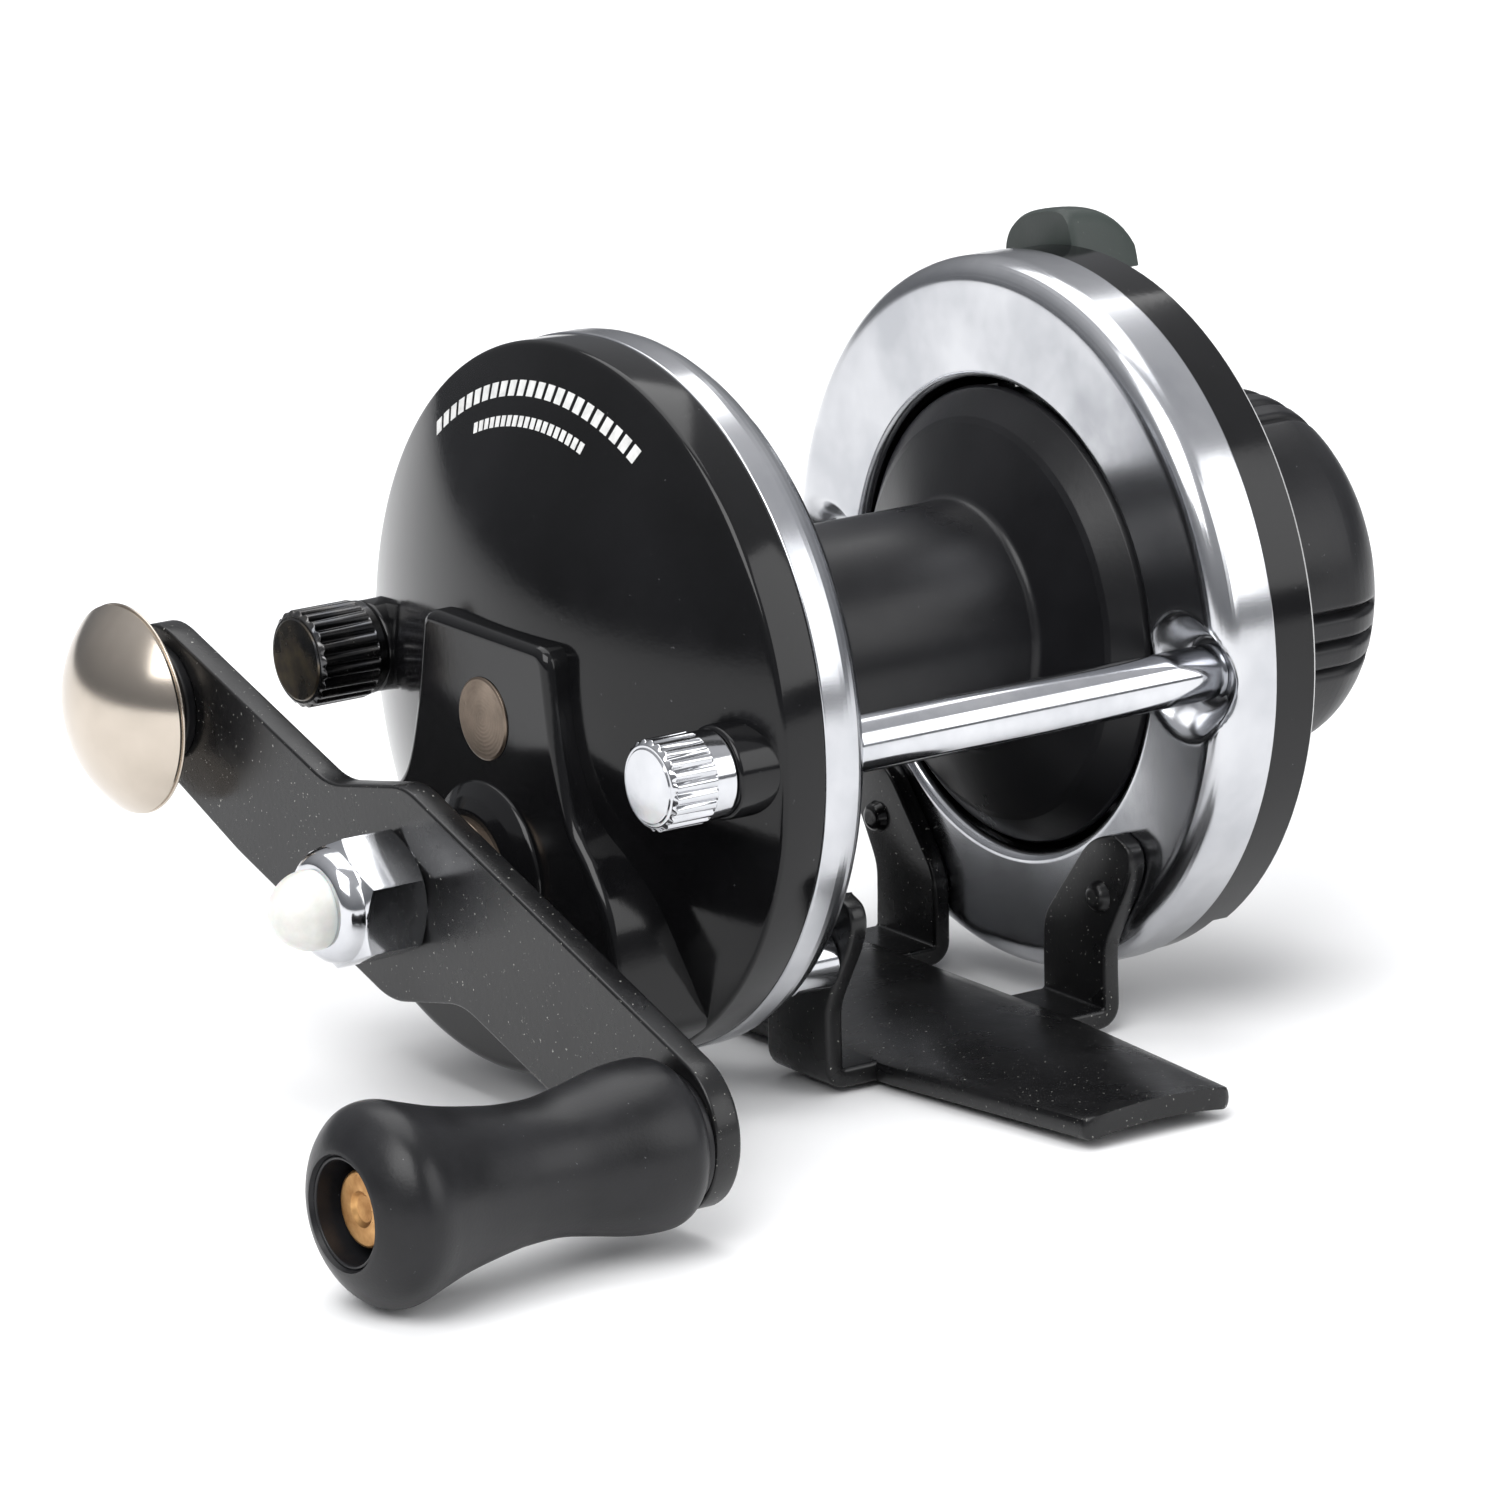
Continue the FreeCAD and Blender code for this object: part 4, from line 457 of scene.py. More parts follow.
def warm_nickel():
    """Old nickel plate: warm, softly bright, with a few small dark pits."""
    return surface("pitted_nickel", colours().nickel, "#a89e92", (0.16, 0.26), 1.0, patch=6.0, amount=0.6,
                   grain=0.6, depth=0.002, fleck="#3f3a33", fleck_size=0.42, fleck_share=0.80)


def black_enamel():
    """Stoved enamel on steel: satin black, a slight orange peel and pale specks of dust and wear."""
    return surface("stoved_black_enamel", colours().enamel, "#1f1f20", (0.2, 0.36), patch=7.0, grain=0.5,
                   depth=0.01, fleck="#9a9a94", fleck_size=0.26, fleck_share=0.7,
                   shader_values={"Specular IOR Level": 0.35})


def old_brass():
    """Brass pin end: flat tan with brown tarnish spots."""
    return surface("tarnished_brass", colours().brass, "#9c6f42", (0.32, 0.5), 1.0, patch=1.3, amount=0.9,
                   grain=0.2, depth=0.006, fleck="#5a3d22", fleck_size=0.22, fleck_share=0.70)


def turned_bronze():
    """Bush end faced on a lathe: warm grey-brown with faint fine rings."""
    return surface("turned_bronze", colours().bronze, "#6f6358", (0.3, 0.45), 1.0, patch=2.2, amount=0.8,
                   grain=0.3, depth=0.008, rings=0.28, centre=(0.0, AXIS))


def machined_brass():
    """Gear brass: yellow with cutter marks round the gear's own axis."""
    return surface("machined_brass", "#c2a25e", "#94763c", (0.25, 0.38), 1.0, patch=4.0, rings=0.5,
                   centre=(0.0, AXIS - 10.75), depth=0.01)


def turned_steel():
    """Plain turned steel: grey with fine rings."""
    return surface("turned_steel", "#a2a2a3", "#7a7a7e", (0.22, 0.36), 1.0, patch=4.0, rings=0.4,
                   centre=(0.0, AXIS), depth=0.008)


def milky_nylon():
    """Natural nylon: milky white that glows at the edges, softly glossy, a little grubby."""
    return surface("milky_nylon", colours().nylon, "#c3c3bd", (0.28, 0.4), patch=1.8, amount=0.6, grain=0.4,
                   depth=0.006, shader_values={"Subsurface Weight": 0.35, "Subsurface Scale": 0.8 * MM})


def white_ink():
    """Screen printing ink: flat white with thin patches."""
    return surface("white_ink", "#dededc", "#a9a9a8", (0.45, 0.6), patch=0.8, amount=0.6, grain=0.2,
                   depth=0.004)


def white_card():
    """Matt studio card with the faintest mottling."""
    return surface("matt_white_card", "#fbfbfb", "#f4f4f4", (0.85, 0.95), patch=60.0, grain=2.0, depth=0.01,
                   shader_values={"Specular IOR Level": 0.1})


# ------------------------------------------------------------------ head side

class REEL_OT_head_plate(bpy.types.Operator):
    """Domed head plate with its gear housing, crank boss, nut seats and printed border"""
    bl_idname = "reel.head_plate"
    bl_label = "Head Plate"

    def execute(self, context):
        size = context.scene.reel_plates
        r = mm(size.plate_radius)
        edge = mm(size.dome_edge)
        rise = mm(size.dome_height)
        # dome: x falls with the square of the radius, from the edge to the middle
        radii = np.linspace(r - 0.55, 0.0, 40)
        dome = np.column_stack([edge - rise * (1 - (radii / r) ** 2), radii])
        rim = rounded([(PLATE_BACK, r - 0.35), (PLATE_BACK, r), (edge, r), (dome[0][0], r - 0.55)],
                      [0, 0.15, 0.5, 0], 6)
        back = np.array([(PLATE_BACK, 0.0), (PLATE_BACK, 23.0)])
        cap = lathe(np.vstack([back, rim[:-1], dome]), 0.0, AXIS, 256)
        shells = [cap, self.housing(mm(size.housing_face), r)]
        drop = AXIS - mm(size.boss_drop)
        boss = [(-29.8, 0.0), (-29.8, 6.45), (-30.75, 6.4), (-31.55, 5.4), (-32.1, 4.6), (-32.1, 0.0)]
        shells.append(turned(boss, [0, 0, 0.5, 2.0, 0.4, 0], 0.0, drop, 96))
        seat = mm(size.seat_face)
        for sign in (-1, 1):
            stub = [(-22.5, 0.0), (-22.5, 3.25), (seat, 3.2), (seat, 0.0)]
            shells.append(turned(stub, [0, 0, 0.3, 0], sign * mm(size.pillar_offset), AXIS, 64))
        make_piece("head_plate_skin", shells, head_moulding(), "frame", ["head_plate"])
        self.border(edge, rise, r)
        return {"FINISHED"}

    def housing(self, face, r):
        """Side walls follow a smooth line that widens downwards; the foot follows the plate's rim,
        an arc of the plate's radius."""
        side = [(6.6, 6.2), (7.8, 4.9), (8.5, -0.5), (10.0, -5.2), (12.2, -7.8), (13.9, -10.5), (14.8, -14.5),
                (15.2, -18.8)]
        low = math.atan2(-18.8, 15.2)
        arc = np.linspace(low, -math.pi - low, 40)
        bottom = np.column_stack([(r - 0.1) * np.cos(arc), (r - 0.1) * np.sin(arc)])
        corner = rounded([(0.0, 6.2), (7.1, 6.2), (7.9, 4.2)], [0, 1.5, 0], 8)[1:-1]
        flank = smooth_line([corner[-1]] + side[2:], 8)
        right = np.vstack([corner[:-1], flank])
        left = right[::-1] * np.array([-1.0, 1.0])
        outline = np.vstack([right, bottom[1:-1], left])[::-1]
        outline = resampled(outline, 0.45)
        outline[:, 1] += AXIS
        return slab(outline, face, -20.5, 0.75, 0.1, 6)

    def border(self, edge, rise, r):
        """Two arcs of short white dashes that lie on the dome, a plain printed border. Each arc has
        a radius, a dash height, the degrees between dashes and its first and last angle."""
        arcs = ((21.5, 1.0, 3.0, 50.0, 118.0), (19.4, 0.7, 2.1, 66.0, 104.0))
        corners = np.arange(20).reshape(4, 5)
        loop = np.concatenate([corners[0], corners[1:3, -1], corners[3, ::-1], corners[2:0:-1, 0]])
        after = np.roll(loop, -1)
        shells = []
        for radius, height, dash, first, last in arcs:
            for start in np.arange(first, last, dash):
                a = np.radians(np.linspace(start, start + dash * 0.68, 5))[None, :]
                rr = np.linspace(radius - height / 2, radius + height / 2, 4)[:, None]
                x = edge - rise * (1 - (rr / r) ** 2) + 0.0 * a
                flat = np.stack([x - 0.025, rr * np.cos(a), AXIS + rr * np.sin(a)], axis=-1).reshape(-1, 3)
                deep = flat + np.array([0.06, 0.0, 0.0])
                count = len(flat)
                top = grid_faces(4, 5, wrap_columns=False)
                wall = np.stack([loop, after, after + count, loop + count], axis=1)
                shells.append((np.vstack([flat, deep]), [top, top + count, wall]))
        make_piece("head_plate_border", shells, white_ink(), "frame", ())


class REEL_OT_rings(bpy.types.Operator):
    """Pressed and polished head and tail rings"""
    bl_idname = "reel.rings"
    bl_label = "Rings"

    def execute(self, context):
        size = context.scene.reel_plates
        hole = mm(size.opening_radius)
        r = mm(size.head_ring_radius)
        sheet = 0.8
        face = HEAD_RING
        line = [(-20.0, r), (face, r), (face, hole), (face - 1.3, hole), (face - 1.3, hole + sheet),
                (face - sheet, hole + sheet), (face - sheet, r - sheet), (-20.0, r - sheet)]
        radii = [0.15, 2.6, 0.7, 0.15, 0.1, 0.1, 1.6, 0.1]
        make_piece("head_ring_skin", [turned(line, radii, 0.0, AXIS, 320, closed=True, steps=10)],
                   buffed_aluminium(), "frame", ["head_ring"], 60.0)
        r = mm(size.tail_ring_radius)
        face = TAIL_RING
        line = [(17.2, r), (face, r), (face, hole), (face + 1.4, hole), (face + 1.4, hole + sheet),
                (face + sheet, hole + sheet), (face + sheet, r - sheet), (17.2, r - sheet)]
        radii = [0.15, 1.9, 0.8, 0.15, 0.1, 0.1, 1.1, 0.1]
        path = braced(rounded(line, radii, 10), True, step=0.22)
        points, faces = lathe(path, 0.0, AXIS, 480, closed=True)
        # a round dimple at each pillar: full depth inside 2.3 mm, smoothly to nothing at 4.6 mm
        for sign in (-1, 1):
            away = np.hypot(points[:, 1] - sign * mm(size.pillar_offset), points[:, 2] - AXIS)
            t = np.clip((4.6 - away) / 2.3, 0.0, 1.0)
            fade = np.clip((17.0 - points[:, 0]) / 3.2, 0.0, 1.0)
            points[:, 0] += 2.35 * t * t * (3 - 2 * t) * fade
        make_piece("tail_ring_skin", [(points, faces)], buffed_aluminium(), "frame", ["tail_ring"],
                   60.0)
        return {"FINISHED"}


class REEL_OT_pillars(bpy.types.Operator):
    """Two chromed pillars between the rings"""
    bl_idname = "reel.pillars"
    bl_label = "Pillars"

    def execute(self, context):
        size = context.scene.reel_plates
        r = mm(size.pillar_radius)
        for sign, side in ((-1, "front"), (1, "rear")):
            line = [(HEAD_RING, 0.0), (HEAD_RING, r), (14.8, r), (14.8, 0.0)]
            shell = turned(line, [0, 0.2, 0.2, 0], sign * mm(size.pillar_offset), AXIS, 64)
            make_piece("pillar_skin_" + side, [shell], chrome_plate(), "frame", ["pillar_" + side])
        return {"FINISHED"}


class REEL_OT_thumb_nuts(bpy.types.Operator):
    """Knurled thumb nuts, bright at the front and black nickel at the rear"""
    bl_idname = "reel.thumb_nuts"
    bl_label = "Thumb Nuts"

    def execute(self, context):
        offset = mm(context.scene.reel_plates.pillar_offset)

        def knurl(x, r, a):
            """22 flutes: a narrow dip, the square of a raised cosine wave, on the knurled length."""
            along = np.clip((x - face - 0.1) / 0.3, 0.0, 1.0) * np.clip((face + long - x) / 0.25, 0.0, 1.0)
            outer = np.clip((r - wide + 0.5) / 0.2, 0.0, 1.0)
            return -0.32 * along * outer * (0.5 + 0.5 * np.cos(22 * a)) ** 2

        for sign, side, face, wide, long, material, end_material, finish in (
                (-1, "front", -31.7, 3.1, 3.5, chrome_plate(), chrome_plate(), "nut_chrome"),
                (1, "rear", -32.0, 3.4, 4.7, black_nickel(), worn_nickel(), "nut_black_nickel")):
            y = sign * offset
            line = [(face, 0.0), (face, wide - 0.36), (face + 0.28, wide), (face + long, wide),
                    (face + long, wide - 0.12), (-26.53, wide - 0.12), (-26.53, 0.0)]
            shape = braced(rounded(line, [0, 0.15, 0.1, 0.05, 0, 0.2, 0], 4))
            stud = turned([(-26.6, 0.0), (-26.6, 1.0), (-9.6, 1.0), (-9.6, 0.0)], [0, 0, 0.2, 0], y, AXIS, 32)
            make_piece("thumb_nut_skin_" + side, [lathe(shape, y, AXIS, 264, knurl), stud], material,
                       "nut_" + side, ["thumb_nut_" + side])
            cap = [(face + 0.01, 0.0), (face + 0.01, wide - 0.5), (face - 0.1, wide - 0.62),
                   (face - 0.1, 0.0)]
            end = turned(cap, [0, 0, 0.08, 0], y, AXIS, 64)
            make_piece("thumb_nut_end_" + side, [end], end_material, "nut_" + side, ())
        return {"FINISHED"}


class REEL_OT_bushes(bpy.types.Operator):
    """Bronze bush ends in the housing and the boss"""
    bl_idname = "reel.bushes"
    bl_label = "Bushes"

    def execute(self, context):
        drop = AXIS - mm(context.scene.reel_plates.boss_drop)
        bronze = turned_bronze()
        line = [(-28.5, 0.0), (-28.5, 2.85), (-30.7, 2.85), (-30.78, 2.7), (-30.78, 0.0)]
        make_piece("head_bush_skin", [turned(line, [0, 0, 0.05, 0.05, 0], 0.0, AXIS, 96)], bronze, "frame",
                   ["head_bush"])
        sleeve = [(-32.8, 3.04), (-32.8, 4.2), (-28.9, 4.2), (-28.9, 3.04)]
        shell = turned(sleeve, [0.1, 0.15, 0.1, 0.1], 0.0, drop, 96, closed=True)
        make_piece("crank_bush_skin", [shell], bronze, "frame", ["crank_bush"])
        return {"FINISHED"}


# ------------------------------------------------------------------ spool

class REEL_OT_spool(bpy.types.Operator):
    """Moulded spool with coned flanges"""
    bl_idname = "reel.spool"
    bl_label = "Spool"

    def execute(self, context):
        middle = -1.675
        half = [(15.42, 15.75), (14.95, 16.1), (14.55, 15.9), (13.0, 14.15), (12.75, 13.7), (10.75, 8.7)]
        radii = [0.15, 0.2, 0.3, 0.5, 0.4, 0.7]
        left = [(middle - x, r) for x, r in half]
        right = [(middle + x, r) for x, r in reversed(half)]
        line = [(middle - 15.42, 1.55)] + left + right + [(middle + 15.42, 1.55)]
        shell = turned(line, [0] + radii + radii[::-1] + [0], 0.0, AXIS, 256, closed=True, steps=6)
        make_piece("spool_skin", [shell], spool_moulding(), "spool_set", ["spool"], 50.0)
        return {"FINISHED"}


# ------------------------------------------------------------------ crank

def crank_height(context):
    """Height of the crank axis."""
    return AXIS - mm(context.scene.reel_plates.boss_drop)


def crank_spot(context, along, across):
    """Row-frame (y, z) of a spot given along and across the crank arm."""
    size = context.scene.reel_crank
    point = lean_points(np.array([[0.0, along, across]]), size.lean, crank_height(context))[0]
    return float(point[1]), float(point[2])


def off_arm(context, line):
    """Points of distance out from the arm's face and radius, as points of X and radius."""
    size = context.scene.reel_crank
    face = mm(size.inner_face) - mm(size.thickness)
    return [(face - out, radius) for out, radius in line]


class REEL_OT_crank_arm(bpy.types.Operator):
    """Stamped crank arm with rounded ends"""
    bl_idname = "reel.crank_arm"
    bl_label = "Crank Arm"

    def execute(self, context):
        size = context.scene.reel_crank
        w = mm(size.half_width)
        nose = mm(size.reach) + mm(size.nose)
        far = mm(size.weight_reach)
        off = mm(size.weight_offset)
        rise = mm(size.knob_offset)
        corners = [(-nose, rise - w), (-9.2, rise - w), (-1.7, -off - w), (18.0, -off - w - 0.1),
                   (far + w - 0.2, -off - w + 1.0), (far + w - 0.2, -off + w - 0.2), (9.4, -off + w),
                   (1.2, rise + w + 0.3), (-nose, rise + w)]
        radii = [w - 0.15, 6.0, 6.0, 20.0, w - 0.9, w - 0.9, 6.0, 5.0, w - 0.15]
        outline = resampled(rounded(corners, radii, 12), 0.5)
        face = mm(size.inner_face)
        points, faces = slab(outline, face - mm(size.thickness), face, 0.22, 0.3, 4)
        points = lean_points(points, size.lean, crank_height(context))
        make_piece("crank_arm_skin", [(points, faces)], black_enamel(), "crank_set", ["crank_arm"])
        return {"FINISHED"}


class REEL_OT_crank_nut(bpy.types.Operator):
    """Chromed hexagon nut with a domed shoulder and its nylon cap"""
    bl_idname = "reel.crank_nut"
    bl_label = "Crank Nut"

    def execute(self, context):
        z = crank_height(context)
        count = 180
        a = np.linspace(0.0, FULL, count, endpoint=False)
        # hexagon radius by angle: apothem over the cosine of the angle from the flat's middle
        turn = (a - math.radians(36.0)) % (math.pi / 3)
        flat = 4.0 / np.cos(turn - math.pi / 6)
        # the chamfer cones run from the round face to where their radius meets the hexagon
        cone = (flat - 4.0) * 0.62
        level = np.ones(count)
        rows = [(0.0 * level, 0.0 * level), (0.0 * level, 3.98 * level), (cone + 0.02, flat - 0.03)]
        rows += [(cone + 0.12, flat), (4.68 - cone, flat), (4.78 - cone, flat - 0.03)]
        shoulder = [(4.8, 3.98), (4.86, 3.93), (5.2, 3.88), (5.6, 3.75), (5.95, 3.5), (6.2, 3.2), (6.3, 2.95),
                    (6.3, 2.6), (6.1, 2.5), (6.1, 0.0)]
        rows += [(out * level, radius * level) for out, radius in shoulder]
        x, r = np.array(off_arm(context, rows)).transpose(1, 0, 2)
        points = np.stack([x, r * np.cos(a), z + r * np.sin(a)], axis=-1).reshape(-1, 3)
        nut = (points, [grid_faces(len(rows), count)])
        make_piece("crank_nut_skin", [nut], chrome_plate(), "crank_set", ["crank_nut"], 28.0)
        line = smooth_line(off_arm(context, [(6.0, 2.66), (6.8, 2.72), (7.6, 2.6), (8.4, 2.2), (9.1, 1.55),
                                             (9.5, 0.75), (9.6, 0.0)]), 5)
        line = np.vstack([[(line[0][0], 0.0)], line])
        make_piece("nut_cap_skin", [lathe(line, 0.0, z, 64)], milky_nylon(), "crank_set",
                   ["nut_cap"])
        return {"FINISHED"}


class REEL_OT_counterweight(bpy.types.Operator):
    """Nickel plated counterweight on its black washer"""
    bl_idname = "reel.counterweight"
    bl_label = "Counterweight"

    def execute(self, context):
        size = context.scene.reel_crank
        y, z = crank_spot(context, mm(size.weight_reach), -mm(size.weight_offset))
        # dome: a spherical cap of rim radius 7.35 and rise 3.45
        ball = (7.35 ** 2 + 3.45 ** 2) / 6.9
        radii = np.linspace(0.0, 7.25, 40)
        dome = off_arm(context, zip(6.65 - ball + np.sqrt(ball ** 2 - radii ** 2), radii))
        under = [(3.1, 7.36), (2.85, 7.3), (2.5, 6.3), (1.6, 3.5), (0.8, 3.5), (0.8, 0.0)]
        line = np.vstack([dome, rounded(off_arm(context, under), [0.1, 0.15, 0.6, 0.5, 0.1, 0], 5)])
        make_piece("counterweight_skin", [lathe(line, y, z, 160)],
                   warm_nickel(), "crank_set", ["counterweight"], 50.0)
        ring = off_arm(context, [(0.8, 0.0), (0.8, 4.1), (0.0, 4.1), (0.0, 0.0)])
        washer = turned(ring, [0, 0.25, 0.1, 0], y, z, 64)
        make_piece("counterweight_washer_skin", [washer], knob_moulding(), "crank_set",
                   ["counterweight_washer"])
        return {"FINISHED"}


class REEL_OT_handle_knob(bpy.types.Operator):
    """Turned handle knob with its recessed brass pin and black washer"""
    bl_idname = "reel.handle_knob"
    bl_label = "Handle Knob"

    def execute(self, context):
        size = context.scene.reel_crank
        y, z = crank_spot(context, -mm(size.reach), mm(size.knob_offset))
        outside = [(0.65, 4.6), (0.85, 5.0), (1.5, 5.5), (2.5, 5.7), (4.7, 5.58), (7.7, 5.0), (10.2, 4.6),
                   (12.7, 4.62), (14.7, 4.85), (17.9, 5.45), (20.3, 6.15), (21.9, 6.66), (22.9, 6.75),
                   (23.8, 6.5), (24.7, 5.8), (25.4, 4.9), (25.75, 4.2), (25.85, 3.85)]
        recess = [(25.85, 3.7), (25.5, 3.42), (22.3, 3.3), (22.3, 1.56), (0.65, 1.56)]
        line = np.vstack([smooth_line(off_arm(context, outside), 5),
                          rounded(off_arm(context, recess), [0.12, 0.2, 0.3, 0.05, 0.05], 4)])
        make_piece("handle_knob_skin", [lathe(line, y, z, 192, closed=True)], knob_moulding(), "handle",
                   ["handle_knob"], 45.0)
        cup = [(24.1, 0.0), (24.1, 0.9), (24.35, 1.2), (24.35, 2.55), (22.55, 2.55), (22.55, 1.45),
               (-2.0, 1.45), (-2.0, 0.0)]
        shell = turned(off_arm(context, cup), [0, 0.2, 0.1, 0.25, 0.1, 0, 0, 0], y, z, 64)
        make_piece("knob_pin_skin", [shell], old_brass(), "crank_set", ["knob_pin"])
        ring = off_arm(context, [(0.6, 0.0), (0.6, 4.4), (0.0, 4.4), (0.0, 0.0)])
        washer = turned(ring, [0, 0.2, 0.1, 0], y, z, 64)
        make_piece("knob_washer_skin", [washer], knob_moulding(), "crank_set", ["knob_washer"])
        return {"FINISHED"}


# ------------------------------------------------------------------ foot

class REEL_OT_foot(bpy.types.Operator):
    """Stamped foot: crowned blade and four folded ears, with rivets and spacers"""
    bl_idname = "reel.foot"
    bl_label = "Foot"

    def execute(self, context):
        shells = [self.blade()]
        for sign in (-1, 1):
            for way in (-1, 1):
                shells.append(self.ear(sign, way))
        make_piece("foot_skin", shells, black_enamel(), "frame", ["foot"], 35.0)
        rivets = []
        for sign, base, back in ((-1, -11.0, -16.6), (1, 11.05, 13.25)):
            head = [(base, 0.0), (base, 1.15), (base - sign * 0.75, 0.85), (base - sign * 0.75, 0.0)]
            tail = [(base, 0.0), (base, 0.8), (back, 0.8), (back, 1.1), (back + sign * 0.6, 0.9),
                    (back + sign * 0.6, 0.0)]
            for y in (-RIVET_Y, RIVET_Y):
                rivets.append(turned(head, [0, 0, 0.5, 0], y, RIVET_Z, 32))
                rivets.append(turned(tail, [0, 0, 0, 0, 0.2, 0], y, RIVET_Z, 32))
        make_piece("foot_rivets_skin", rivets, black_enamel(), "frame", ["foot_rivets"])
        sleeve = [(HEAD_RING, 0.8), (HEAD_RING, 2.2), (-12.4, 2.2), (-12.4, 0.8)]
        sleeves = [turned(sleeve, [0.05, 0.2, 0.2, 0.05], y, RIVET_Z, 48, closed=True)
                   for y in (-RIVET_Y, RIVET_Y)]
        make_piece("foot_spacers_skin", sleeves, chrome_plate(), "frame", ["foot_spacers"])
        return {"FINISHED"}

    def blade(self):
        """Sections across X at stations along Y: the top is an arc of radius 40 mm, the half width
        narrows in a straight line towards each tip and the tip corners are quarter circles."""
        tip = 34.0
        corner = 0.5
        end = np.linspace(tip - corner, tip, 6)
        y = np.concatenate([-end[::-1], np.linspace(-33.0, 33.0, 66), end])
        away = np.abs(y)
        half = np.where(away < 14.3, 8.4, 8.4 - (away - 14.3) * (8.4 - 6.1) / (tip - 14.3))
        turn = np.clip((away - tip + corner) / corner, 0.0, 1.0)
        half = half - corner * (1 - np.sqrt(np.clip(1 - turn ** 2, 0.0, 1.0)))
        flat = (half - 0.35)[:, None]
        u = flat * np.linspace(-1.0, 1.0, 15)[None, :]
        top = 2.4 - 40.0 + np.sqrt(1600.0 - u ** 2)
        t = np.linspace(0.0, math.pi, 7)[None, 1:-1]
        right = flat + 0.35 * np.sin(t)
        side = top[:, -1:] - 0.75
        x = np.hstack([u, right, u[:, ::-1], -right])
        z = np.hstack([top, side + 0.75 * np.cos(t), top[:, ::-1] - 1.5, side - 0.75 * np.cos(t)])
        points = np.stack([x, y[:, None] + 0.0 * x, z], axis=-1)
        return points.reshape(-1, 3), capped_faces(*x.shape)

    def ear(self, sign, way):
        """A strip that runs out from under the blade, turns up through a bend of 1.2 mm outside
        radius and ends in the rounded, outward leaning ear."""
        face = 12.42 if sign > 0 else 12.4
        thick = 1.4
        bend = 1.6
        run = np.arange(7.0, face - bend, 0.5)
        t = np.linspace(0.0, math.pi / 2, 8)
        # the ear's two edges as smooth lines of (distance from the middle, height)
        inner = smooth_line([(6.3, 2.2), (6.3, 4.5), (6.5, 6.7), (7.7, 8.5), (9.5, 10.7), (11.3, 12.8),
                             (12.7, 13.7), (14.5, 14.25)], 8)
        outer = smooth_line([(13.4, 2.2), (13.35, 4.5), (13.5, 6.2), (14.6, 8.3), (15.9, 10.6),
                             (16.45, 12.3), (16.1, 13.6), (14.7, 14.25)], 8)
        inner = inner[np.argsort(inner[:, 1])]
        outer = outer[np.argsort(outer[:, 1])]
        crown = 14.25 - 1.65 * (1 - np.sin(np.linspace(0.0, 1.55, 12)[1:]))
        heights = np.concatenate([np.linspace(2.2, 12.6, 26), crown])
        x = np.concatenate([run, face - bend + bend * np.sin(t), np.full(len(heights), face)])
        z = np.concatenate([np.full(len(run), 0.15), 0.15 + bend - bend * np.cos(t), heights])
        nx = np.concatenate([np.zeros(len(run)), -np.sin(t), np.full(len(heights), -1.0)])
        nz = np.concatenate([np.ones(len(run)), np.cos(t), np.zeros(len(heights))])
        a = np.interp(z, inner[:, 1], inner[:, 0])
        b = np.interp(z, outer[:, 1], outer[:, 0])
        low, high = (a, b) if way > 0 else (-b, -a)
        path = np.column_stack([sign * x, z])
        normal = np.column_stack([sign * nx, nz])
        return swept_sheet(path, normal, low, high, thick, 0.3)


# ------------------------------------------------------------------ tail side

